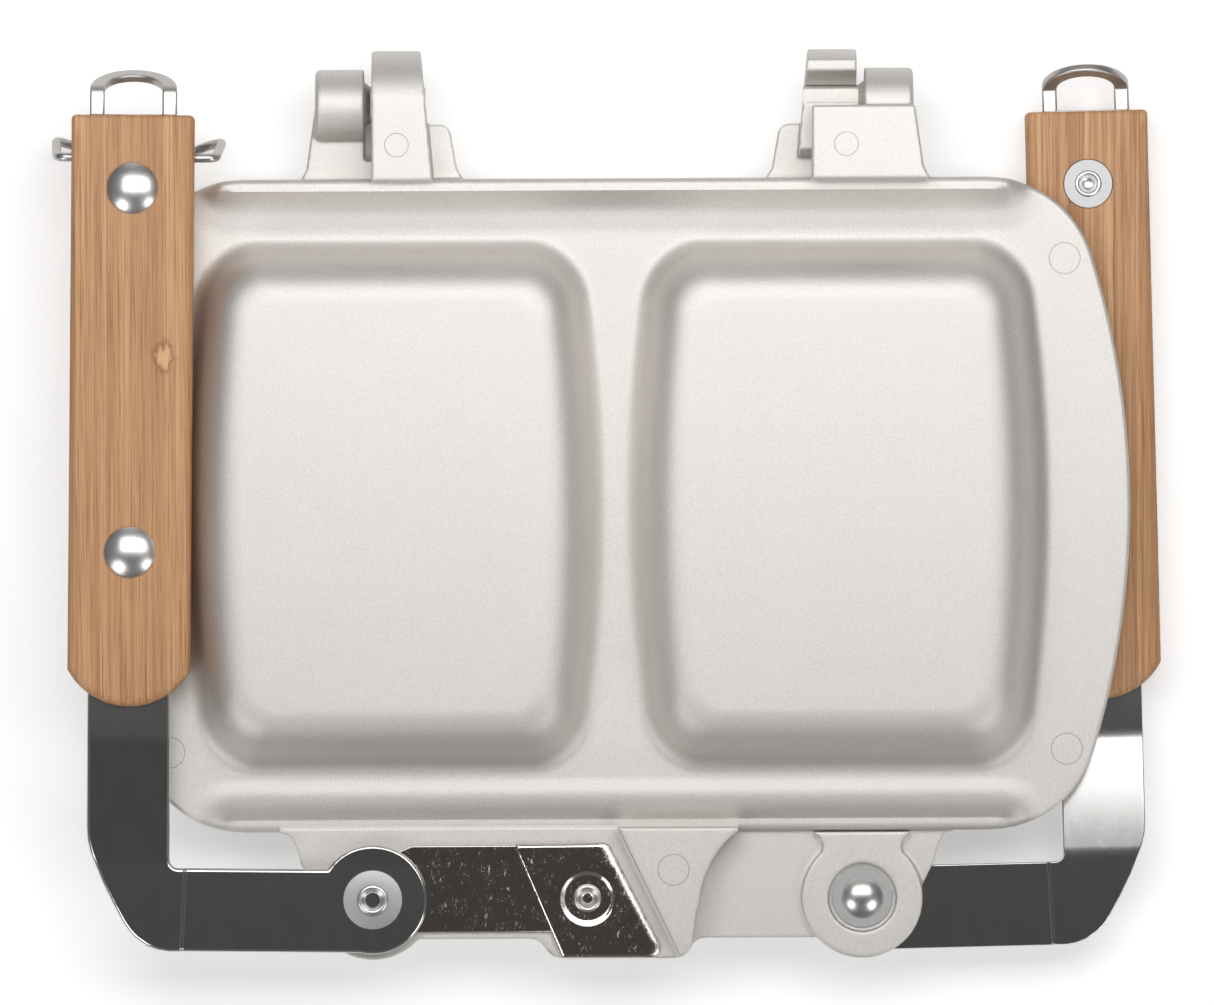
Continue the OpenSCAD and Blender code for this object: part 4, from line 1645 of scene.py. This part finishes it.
@dataclass
class Bracket(Part):
    """Polished bracket: flat strip, round end under the arm and a slanted seat with rolled edges."""

    rivet_at: tuple[float, float] = (-7.4, -96.4)
    low_z: float = 2.6
    strip_z: float = 3.6
    seat_z: float = 4.1
    end_r: float = 12.5
    hole_r: float = 3.05
    dimple_r: float = 5.3
    dimple_edge: float = 7.0
    roll: float = 1.15
    strip_roll: float = 0.35
    ring_edge: float = 0.6
    strip_plan: tuple[tuple[float, float], ...] = (
        (-60, -104.6), (-15.5, -104.6), (-15.5, -90), (-24, -83.3), (-50.5, -83.3), (-53.5, -84.6),
        (-60, -86))
    seat_plan: tuple[tuple[float, float, float], ...] = (
        (-25.9, -82.9, 1.0), (-13.8, -111.1, 0.8), (12.2, -111.1, 2.6), (-2.2, -82.7, 1.6))
    seat_flat: tuple[tuple[float, float, float], ...] = (
        (-24.1, -84.0, 0.8), (-12.9, -109.9, 0.6), (7.6, -109.9, 2.2), (-6.0, -83.9, 1.4))
    bore_r: float = 2.4
    tube_r: float = 3.4
    tube_hole_r: float = 2.15
    tube_z: float = 5.4
    tube_floor_z: float = 3.4
    shank: tuple[tuple[float, float], ...] = (
        (3.35, 3.62), (2.5, 3.55), (2.5, 1.2), (4.8, 1.1), (4.9, 0.95), (4.9, 0.5), (4.75, 0.4),
        (0, 0.4))

    def seat(self, sketch: Sketch) -> None:
        """Adds the seat, with a dimple round its rivet and rolled edges.

        Args:
            sketch: the bracket so far.
        """
        plan = self.densified(rounded(self.seat_plan, 13))
        inner = self.densified(rounded(self.seat_flat, 13))
        centre = np.array(self.rivet_at)
        ray = plan - centre
        unit = ray / np.linalg.norm(ray, axis=1, keepdims=True)
        rows = [lifted(centre + unit * self.bore_r, self.strip_z)]
        for t in np.linspace(0, 1, 9):
            radius = self.dimple_r + (self.dimple_edge - self.dimple_r) * t
            rows.append(lifted(centre + unit * radius,
                               self.strip_z + (self.seat_z - self.strip_z) * smoothstep(t)))
        start = rows[-1][:, :2]
        rows += [lifted(start + (inner - start) * t, self.seat_z) for t in (0.4, 0.8, 1.0)]
        rows += [lifted(inner + (plan - inner) * math.sin(a),
                        self.seat_z - self.roll * (1 - math.cos(a)))
                 for a in np.linspace(0.15, math.pi / 2, 10)]
        rows.append(lifted(plan, self.low_z))
        sketch.band(rows)

    @staticmethod
    def densified(outline: Sequence, longest: float = 4.0, pieces: int = 14) -> Points:
        """Splits the straight sides of an outline.

        Args:
            outline: the closed outline.
            longest: sides up to this length stay whole.
            pieces: number of pieces of every longer side.

        Returns:
            The denser outline.
        """
        plan, made = np.array(outline, float), []
        for start, end in zip(plan, np.roll(plan, -1, 0)):
            count = pieces if np.linalg.norm(end - start) > longest else 1
            made += [start + (end - start) * k / count for k in range(count)]
        return np.array(made)

    def build(self, palette: Palette) -> None:
        """Builds the bracket and its tubular rivet.

        Args:
            palette: the finishes.
        """
        sketch = Sketch().prism(self.strip_plan, self.low_z, self.strip_z, self.strip_roll)
        self.seat(sketch)
        sketch.lathe(ring_profile(self.hole_r, self.end_r, self.low_z, self.seat_z, self.ring_edge),
                     PIVOT)
        self.fit("bracket_plate", sketch, Slot.BRACKET, [palette.mirror], "handle_bracket")
        profile = roll_end(self.tube_r, self.tube_hole_r, self.tube_z, self.tube_floor_z)
        profile += self.shank
        self.fit("bracket_tube_rivet", Sketch().lathe(profile, self.rivet_at), Slot.RIVET,
                 [palette.bright], "bracket_rivet")


@dataclass
class PivotStack(Part):
    """Rivet that the handle turns on: dome head and washer behind, washer and tube end in front."""

    head_z: float = -1.6
    back_washer_r: float = 7.3
    back_washer_t: float = 0.8
    front_z: float = 6.25
    front_washer_r: float = 7.2
    front_washer_t: float = 0.6
    shaft_r: float = 3.0
    tube_r: float = 3.86
    tube_h: float = 1.1
    hole_r: float = 2.3
    hole_z: float = 5.6
    dome_r: float = 5.1
    dome_h: float = 2.4

    def build(self, palette: Palette) -> None:
        """Builds the rivet and its two washers.

        Args:
            palette: the finishes.
        """
        seat = self.front_z + self.front_washer_t
        head = [(r, -z) for r, z in dome(self.dome_r, self.dome_h, -self.head_z)][::-1]
        profile = roll_end(self.tube_r, self.hole_r, seat + self.tube_h, self.hole_z)
        profile += [(self.tube_r, seat + 0.05), (self.shaft_r, seat), (self.shaft_r, self.head_z)]
        self.fit("pivot_shaft", Sketch().lathe(profile + head, PIVOT, 96), Slot.RIVET,
                 [palette.bright], "pivot_rivet")
        rings = {"front": (self.front_washer_r, self.front_z, seat),
                 "back": (self.back_washer_r, self.head_z, self.head_z + self.back_washer_t)}
        for side, (radius, low, high) in rings.items():
            ring = Sketch().lathe(ring_profile(self.shaft_r + 0.05, radius, low, high), PIVOT, 96)
            self.fit(f"pivot_{side}_ring", ring, Slot.WASHER, [palette.washer],
                     f"pivot_{side}_washer")


# ---------------------------------------------------------------- handles


@dataclass
class HandleArm(Part):
    """Pressed strip from the pivot disc round the corner and up into the grip, with its loop."""

    arm_z: float = 4.2
    corner_rise: float = 2.1
    grip_rise: float = 5.1
    strip_t: float = 2.0
    disc_r: float = 13.35
    bar_top: float = 7.4
    bar_low: float = -13.0
    inner: float = -49.85
    outer: float = -70.15
    joggle_from: float = -45.9
    joggle_to: float = -46.7
    joggle_lean: float = 0.035
    slope_from: float = 9.3
    slope_to: float = 38.4
    bend: float = 1.6
    end: float = 191.9
    rim: float = 0.85
    loop_r: float = 10.65
    loop_leg: float = 3.6
    loop_run: float = 5.9
    loop_from: float = 5.1
    loop_t: float = 2.0
    loop_bend: float = 1.6
    loop_tilt: float = 65.0

    def outline(self) -> list:
        """Draws the flat arm, from the pivot disc round the corner to the end of the grip.

        Returns:
            (x, y) points, anticlockwise.
        """
        low = math.degrees(math.asin(self.bar_low / self.disc_r))
        high = math.degrees(math.asin(self.bar_top / self.disc_r))
        corner = rounded([(-11.5, self.bar_top, 0), (self.inner, self.bar_top, 2.2),
                          (self.inner, self.end, 0)], 15)
        elbow = [(-70.15, 17.0), (-69.9, 14.0), (-69.1, 10.9), (-67.9, 8.0), (-66.2, 3.9),
                 (-63.4, -1.7), (-61.0, -6.0), (-59.6, -8.0), (-58.0, -9.7), (-55.1, -11.7),
                 (-52.5, -12.6), (-50.0, -13.0)]
        return (arc((0, 0), self.disc_r, -180 - low, 180 - high, 60) + corner
                + [(self.outer, self.end)] + elbow)

    def height(self, u: float, v: float) -> float:
        """Works out the height of the strip's underside at a plan point.

        Args:
            u: distance to the right of the pivot.
            v: distance along the handle.

        Returns:
            The height, in millimetres.
        """
        joggle = smoothstep((self.joggle_from + self.joggle_lean * v - u)
                            / (self.joggle_from - self.joggle_to))
        reach = self.slope_to - self.slope_from
        rise = 0.0
        for centre, sign in ((self.slope_from, 1), (self.slope_to, -1)):
            t = (v - centre) / self.bend
            rise += sign * self.bend * ((t + 1) ** 2 / 4 if abs(t) < 1 else max(t, 0.0))
        lift = (self.grip_rise - self.corner_rise) * rise / reach
        return self.arm_z + self.corner_rise * float(joggle) + lift

    def strip(self) -> bpy.types.Mesh:
        """Bends the strip.

        Returns:
            The mesh, in millimetres.
        """
        across = np.linspace(self.joggle_to - 0.9, self.joggle_from + 0.6, 17)
        ends = [centre + self.bend * k / 4 for centre in (self.slope_from, self.slope_to)
                for k in range(-4, 5)]
        planes = [(Vector((u, 0, 0)), Vector((1, -self.joggle_lean, 0)).normalized()) for u in across]
        planes += [(Vector((0, v, 0)), Vector((0, 1, 0))) for v in ends]
        made = Sketch().prism(self.outline(), 0, self.strip_t, self.rim, 0.3, 6).cut(planes)
        for vertex in made.vertices:
            vertex.co.z += self.height(vertex.co.x, vertex.co.y)
        return made

    def loop(self) -> bpy.types.Mesh:
        """Bends the hanging loop, a flat bow, down behind the grip's end.

        Returns:
            The mesh, in millimetres.
        """
        r, inner = self.loop_r, self.loop_r - self.loop_leg
        outline = ([(inner, -0.2), (r, -0.2)] + arc((0, self.loop_run), r, 0, 180, 40)
                   + [(-r, -0.2), (-inner, -0.2)] + arc((0, self.loop_run), inner, 180, 0, 32))
        half, tilt = self.loop_t / 2, math.radians(self.loop_tilt)
        stops = np.linspace(self.loop_from, self.loop_from + self.loop_bend * tilt, 9)
        planes = [(Vector((0, y, 0)), Vector((0, 1, 0))) for y in stops]
        made = Sketch().prism(outline, -half, half, 0.5, 0.5, 4).cut(planes)
        for vertex in made.vertices:
            x, y, z = vertex.co
            turn = min(max((y - self.loop_from) / self.loop_bend, 0.0), tilt)
            past = max(y - self.loop_from - self.loop_bend * tilt, 0.0)
            start, radius = min(y, self.loop_from), self.loop_bend + z
            vertex.co = (x, start + radius * math.sin(turn) + past * math.cos(turn),
                         radius * math.cos(turn) - self.loop_bend - past * math.sin(turn))
        return made

    def build(self, palette: Palette) -> None:
        """Builds the arm and its hanging loop.

        Args:
            palette: the finishes.
        """
        self.fit("arm_strip", self.strip(), Slot.ARM, [palette.arm], "handle_arm",
                 self.space.pivot(), Body.HANDLE, SOFT_CREASE)
        end = self.space.grip() @ Matrix.Translation((0, GRIP_END, GRIP_MID_Z))
        self.fit("loop_bow", self.loop(), Slot.ARM, [palette.loop], "", end, Body.HANDLE,
                 SOFT_CREASE)


@dataclass
class Grip(Part):
    """Two bamboo scales riveted onto the tang."""

    start: float = 47.0
    half_w: float = 15.0
    sides: tuple[float, float] = (70.0, 185.0)
    square_from: float = 187.0
    low_z: float = 5.3
    high_z: float = 15.3
    end_r: float = 17.0
    roll: float = 2.3
    end_roll: float = 1.0
    rivets: tuple[float, float] = (84.7, 173.7)
    dome_r: float = 6.3
    dome_h: float = 2.4
    tube_r: float = 3.3
    tube_z: float = 4.8
    tube_deep: float = 2.2
    hole_r: float = 2.2
    shaft_r: float = 2.6
    washer_r: float = 6.0
    washer_t: float = 0.6

    def outline(self) -> Points:
        """Draws the plan outline of a scale, with its round lower end.

        Returns:
            (x, y) points, anticlockwise.
        """
        spread = math.degrees(math.acos(self.half_w / self.end_r))
        lower = arc((0, self.start + self.end_r), self.end_r, 180 + spread, 360 - spread, 28)
        sides = [(self.half_w, float(v)) for v in np.linspace(*self.sides, 12)]
        top = rounded([(self.half_w, self.square_from, 0), (self.half_w, GRIP_END, 1.2),
                       (-self.half_w, GRIP_END, 1.2), (-self.half_w, self.square_from, 0)])
        return np.array(lower + sides + top + [(-u, v) for u, v in sides[::-1]], float)

    def scale(self, side: ScaleSide) -> Sketch:
        """Draws one scale, rounded along its outer edges and less so across its upper end.

        Args:
            side: which scale of the grip.

        Returns:
            The sketch, with the tang's middle at z = 0.
        """
        plan = self.outline()
        out = normals(plan)
        width = np.where(plan[:, 1] > self.square_from + 0.5, self.end_roll, self.roll)
        thick = self.high_z - GRIP_MID_Z
        rows = [lifted(plan - out * (width[:, None] + 0.05), thick)]
        rows += [lifted(plan - out * width[:, None] * (1 - math.sin(a)),
                        thick - width * (1 - math.cos(a)))
                 for a in np.linspace(0, math.pi / 2, 9)]
        rows.append(lifted(plan, 0.25))
        rows.append(lifted(plan - out * 0.15, 0.03))
        sketch = Sketch().band(rows)
        if side is ScaleSide.INNER:
            sketch.points = [(x, y, -z) for x, y, z in sketch.points]
            sketch.faces = [face[::-1] for face in sketch.faces]
        return sketch

    def recesses(self) -> Sketch:
        """Draws the round recesses for the washers and the bores for the rivets.

        Returns:
            The sketch, in the scale's frame.
        """
        face, tool = self.low_z - GRIP_MID_Z, Sketch()
        sunk = face + self.washer_t + 0.1
        for v in self.rivets:
            tool.lathe([(0, 1.0), (self.shaft_r + 0.1, 1.0), (self.shaft_r + 0.1, sunk),
                        (self.washer_r + 0.15, sunk), (self.washer_r + 0.15, face - 1), (0, face - 1)],
                       (0, v), 64)
        return tool

    def build(self, palette: Palette) -> None:
        """Builds both scales, their rivets and the washers under the tube ends.

        Args:
            palette: the finishes.
        """
        matrix = self.space.grip()
        middle = matrix @ Matrix.Translation((0, 0, GRIP_MID_Z))
        for side in ScaleSide:
            scale = self.scale(side).mesh()
            if side is ScaleSide.INNER:
                scale = bored(scale, self.recesses())
            self.fit(f"{side.value}_bamboo_scale", scale, Slot.GRIP,
                     [palette.bamboo[self.space.half]], f"grip_{side.value}_scale", middle, Body.HANDLE,
                     SOFT_CREASE)
        tube = [(r, 2 * self.tube_z - z) for r, z in
                roll_end(self.tube_r, self.hole_r, self.tube_z, self.tube_z - self.tube_deep)][::-1]
        profile = dome(self.dome_r, self.dome_h, self.high_z)
        profile += [(self.shaft_r, self.high_z - 0.3), (self.shaft_r, self.low_z + 0.1),
                    (self.tube_r, self.low_z + 0.03)] + tube
        rivets, rings = Sketch(), Sketch()
        for v in self.rivets:
            rivets.lathe(profile, (0, v), 80)
            rings.lathe(ring_profile(self.shaft_r + 0.05, self.washer_r, self.low_z + 0.05,
                                     self.low_z + 0.05 + self.washer_t), (0, v), 80)
        self.fit("grip_dome_rivets", rivets, Slot.RIVET, [palette.bright], "grip_rivets", matrix,
                 Body.HANDLE)
        self.fit("grip_washer_rings", rings, Slot.WASHER, [palette.washer],
                 "grip_rivet_washers", matrix, Body.HANDLE)


@dataclass
class LockingBail(Part):
    """Spring wire that swings over both grips when the handles are folded out."""

    shift: float = 0.8
    along: float = 181.3
    wire_r: float = 1.13
    stub: float = 11.5
    reach: float = 2.6
    corners: tuple[tuple[float, float, float], ...] = (
        (19.4, 0.0, 0.0), (20.4, 4.4, -22.5), (16.0, 3.3, -26.5), (10.5, 0.8, -27.1))

    def path(self) -> list:
        """Draws the centre line of the wire, with every corner bent round.

        Returns:
            Its points, in millimetres.
        """
        side = [Vector(p) for p in self.corners]
        line = [Vector((self.stub, 0, 0))] + side
        line += [Vector((-p.x, p.y, p.z)) for p in side[::-1]] + [Vector((-self.stub, 0, 0))]
        points = [line[0]]
        for before, at, after in zip(line, line[1:], line[2:]):
            start = at + (before - at).normalized() * self.reach
            stop = at + (after - at).normalized() * self.reach
            points += [start * (1 - t) ** 2 + at * 2 * t * (1 - t) + stop * t * t
                       for t in np.linspace(0, 1, 9)]
        return points + [line[-1]]

    def build(self, palette: Palette) -> None:
        """Builds the bail.

        Args:
            palette: the finishes.
        """
        matrix = self.space.grip() @ Matrix.Translation((self.shift, self.along, GRIP_MID_Z))
        wire = Sketch().tube(self.path(), self.wire_r).mesh()
        place(wire, "bail_wire", matrix, "bail", [palette.wire], ["locking_bail"],
              WIRE_CREASE)


# ---------------------------------------------------------------- studio


@dataclass(frozen=True)
class SoftBox:
    """A lamp with a flat glowing face.

    Attributes:
        name: the lamp's name.
        at: its place in metres.
        size: width and height of its face in metres.
        glow: how bright its face is, where 1 is white.
        aim: the point that it faces, in metres.
    """

    name: str
    at: tuple[float, float, float]
    size: tuple[float, float]
    glow: float
    aim: tuple[float, float, float] = (0.0, 0.0, 0.0)

    def build(self) -> None:
        """Adds the lamp, unseen by the camera itself."""
        data = bpy.data.lights.new(self.name, "AREA")
        data.shape = "RECTANGLE"
        data.size, data.size_y = self.size
        data.energy = 4 * self.glow * self.size[0] * self.size[1]
        lamp = bpy.data.objects.new(self.name, data)
        lamp.location = self.at
        lamp.rotation_euler = (Vector(self.at) - Vector(self.aim)).to_track_quat("Z", "Y").to_euler()
        lamp.visible_camera = False
        bpy.context.scene.collection.objects.link(lamp)


@dataclass
class Studio:
    """Pale floor, a soft box overhead towards the hinge, two small ones opposite, and the camera."""

    centre: tuple[float, float] = (0.0002, 0.0006)
    focus_z: float = 0.025
    distance: float = 3.8
    view_width: float = 0.29743
    sensor: float = 36.0
    roll: float = -0.25
    floor_size: float = 6.0
    sky: tuple[tuple[float, float], ...] = (
        (0.0, 0.08), (26.0, 0.08), (42.0, 0.19), (62.0, 0.15), (90.0, 0.09))
    wall: tuple[tuple[float, float], ...] = ((0.0, 0.8), (14.0, 0.65), (34.0, 0.0))
    wall_light: Colour = (0.95, 0.95, 0.94)
    boxes: tuple[SoftBox, ...] = (
        SoftBox("overhead_box", (0.025, 0.2, 0.49), (0.73, 0.37), 2.3, (0.025, 0.2, 0.0)),
        SoftBox("left_front_box", (-0.42, -0.42, 0.42), (0.27, 0.27), 3.4),
        SoftBox("right_front_box", (0.45, -0.42, 0.42), (0.27, 0.27), 3.4))

    def camera(self) -> None:
        """Adds the camera, straight above, at the photograph's scale."""
        data = bpy.data.cameras.new("camera")
        data.sensor_width = self.sensor
        data.lens = self.sensor * self.distance / self.view_width
        camera = bpy.data.objects.new("camera", data)
        camera.location = (*self.centre, self.focus_z + self.distance)
        camera.rotation_euler = (0, 0, math.radians(self.roll))
        bpy.context.scene.collection.objects.link(camera)
        bpy.context.scene.camera = camera

    def floor(self) -> None:
        """Adds the floor, white to the camera and still dimmed by the iron's shadow."""
        half = self.floor_size / 2
        mesh = bpy.data.meshes.new("floor")
        mesh.from_pydata([(-half, -half, 0), (half, -half, 0), (half, half, 0), (-half, half, 0)],
                         [], [(0, 1, 2, 3)])
        shader = Shader("floor")
        shader.set(Base_Color=(0.86, 0.86, 0.86), Roughness=0.9)
        rays = shader.add("ShaderNodeLightPath")
        glossy = shader.math("MAXIMUM", rays.outputs["Is Glossy Ray"],
                             rays.outputs["Is Transmission Ray"])
        lift = shader.math("MAXIMUM", shader.math("MULTIPLY", rays.outputs["Is Camera Ray"], 0.38),
                           shader.math("MULTIPLY", glossy, 0.1))
        shader.set(Emission_Color=(1.0, 1.0, 1.0), Emission_Strength=lift)
        mesh.materials.append(shader.material)
        floor = bpy.data.objects.new("floor", mesh)
        bpy.context.scene.collection.objects.link(floor)

    def world(self) -> None:
        """Adds the surroundings: dark overhead, dim around, and a pale wall behind the hinge."""
        world = bpy.data.worlds.new("surroundings")
        world.use_nodes = True
        bpy.context.scene.world = world
        tree = world.node_tree
        where = tree.nodes.new("ShaderNodeTexCoord").outputs["Generated"]
        sky = self.angle_ramp(tree, where, (0.0, 0.0, 1.0), self.sky)
        wall = self.angle_ramp(tree, where, (0.0, 1.0, 0.0), self.wall)
        rays = tree.nodes.new("ShaderNodeLightPath")
        seen = tree.nodes.new("ShaderNodeMath")
        seen.operation = "MAXIMUM"
        tree.links.new(wall, seen.inputs[0])
        tree.links.new(rays.outputs["Is Camera Ray"], seen.inputs[1])
        mixed = tree.nodes.new("ShaderNodeMix")
        mixed.data_type = "RGBA"
        mixed.inputs[7].default_value = (*self.wall_light, 1.0)
        tree.links.new(seen.outputs[0], mixed.inputs[0])
        tree.links.new(sky, mixed.inputs[6])
        tree.links.new(mixed.outputs[2], tree.nodes["Background"].inputs["Color"])

    @staticmethod
    def angle_ramp(tree: bpy.types.NodeTree, where: bpy.types.NodeSocket, axis: Sequence[float],
                   stops: Sequence[tuple[float, float]]) -> bpy.types.NodeSocket:
        """Grey ramp over the angle from an axis.

        Args:
            tree: the world's node tree.
            where: direction of the ray.
            axis: unit vector that the angle is measured from.
            stops: (angle in degrees, grey) pairs.

        Returns:
            The ramp's colour.
        """
        dot = tree.nodes.new("ShaderNodeVectorMath")
        dot.operation = "DOT_PRODUCT"
        dot.inputs[1].default_value = axis
        angle = tree.nodes.new("ShaderNodeMath")
        angle.operation = "ARCCOSINE"
        share = tree.nodes.new("ShaderNodeMath")
        share.operation = "DIVIDE"
        share.inputs[1].default_value = math.pi / 2
        ramp = tree.nodes.new("ShaderNodeValToRGB")
        while len(ramp.color_ramp.elements) < len(stops):
            ramp.color_ramp.elements.new(0.5)
        for element, (degrees, grey) in zip(ramp.color_ramp.elements, stops):
            element.position = degrees / 90
            element.color = (grey, grey, grey, 1)
        tree.links.new(where, dot.inputs[0])
        tree.links.new(dot.outputs["Value"], angle.inputs[0])
        tree.links.new(angle.outputs[0], share.inputs[0])
        tree.links.new(share.outputs[0], ramp.inputs[0])
        return ramp.outputs["Color"]

    def build(self) -> None:
        """Builds the whole studio."""
        self.camera()
        self.floor()
        self.world()
        for box in self.boxes:
            box.build()
        bpy.context.scene.view_settings.view_transform = "Standard"


def main() -> None:
    """Builds the iron half by half, then the studio."""
    logging.basicConfig(level=logging.INFO, format="%(name)s: %(message)s")
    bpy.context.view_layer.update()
    palette = Palette()
    for half in Half:
        space = HalfFrame(half)
        for part in (PlateShell, HingeCasting, LugCasting, Bracket, PivotStack, HandleArm, Grip):
            part(space).build(palette)
    LockingBail(HalfFrame(Half.UPPER)).build(palette)
    Studio().build()


if __name__ == "__main__":
    main()
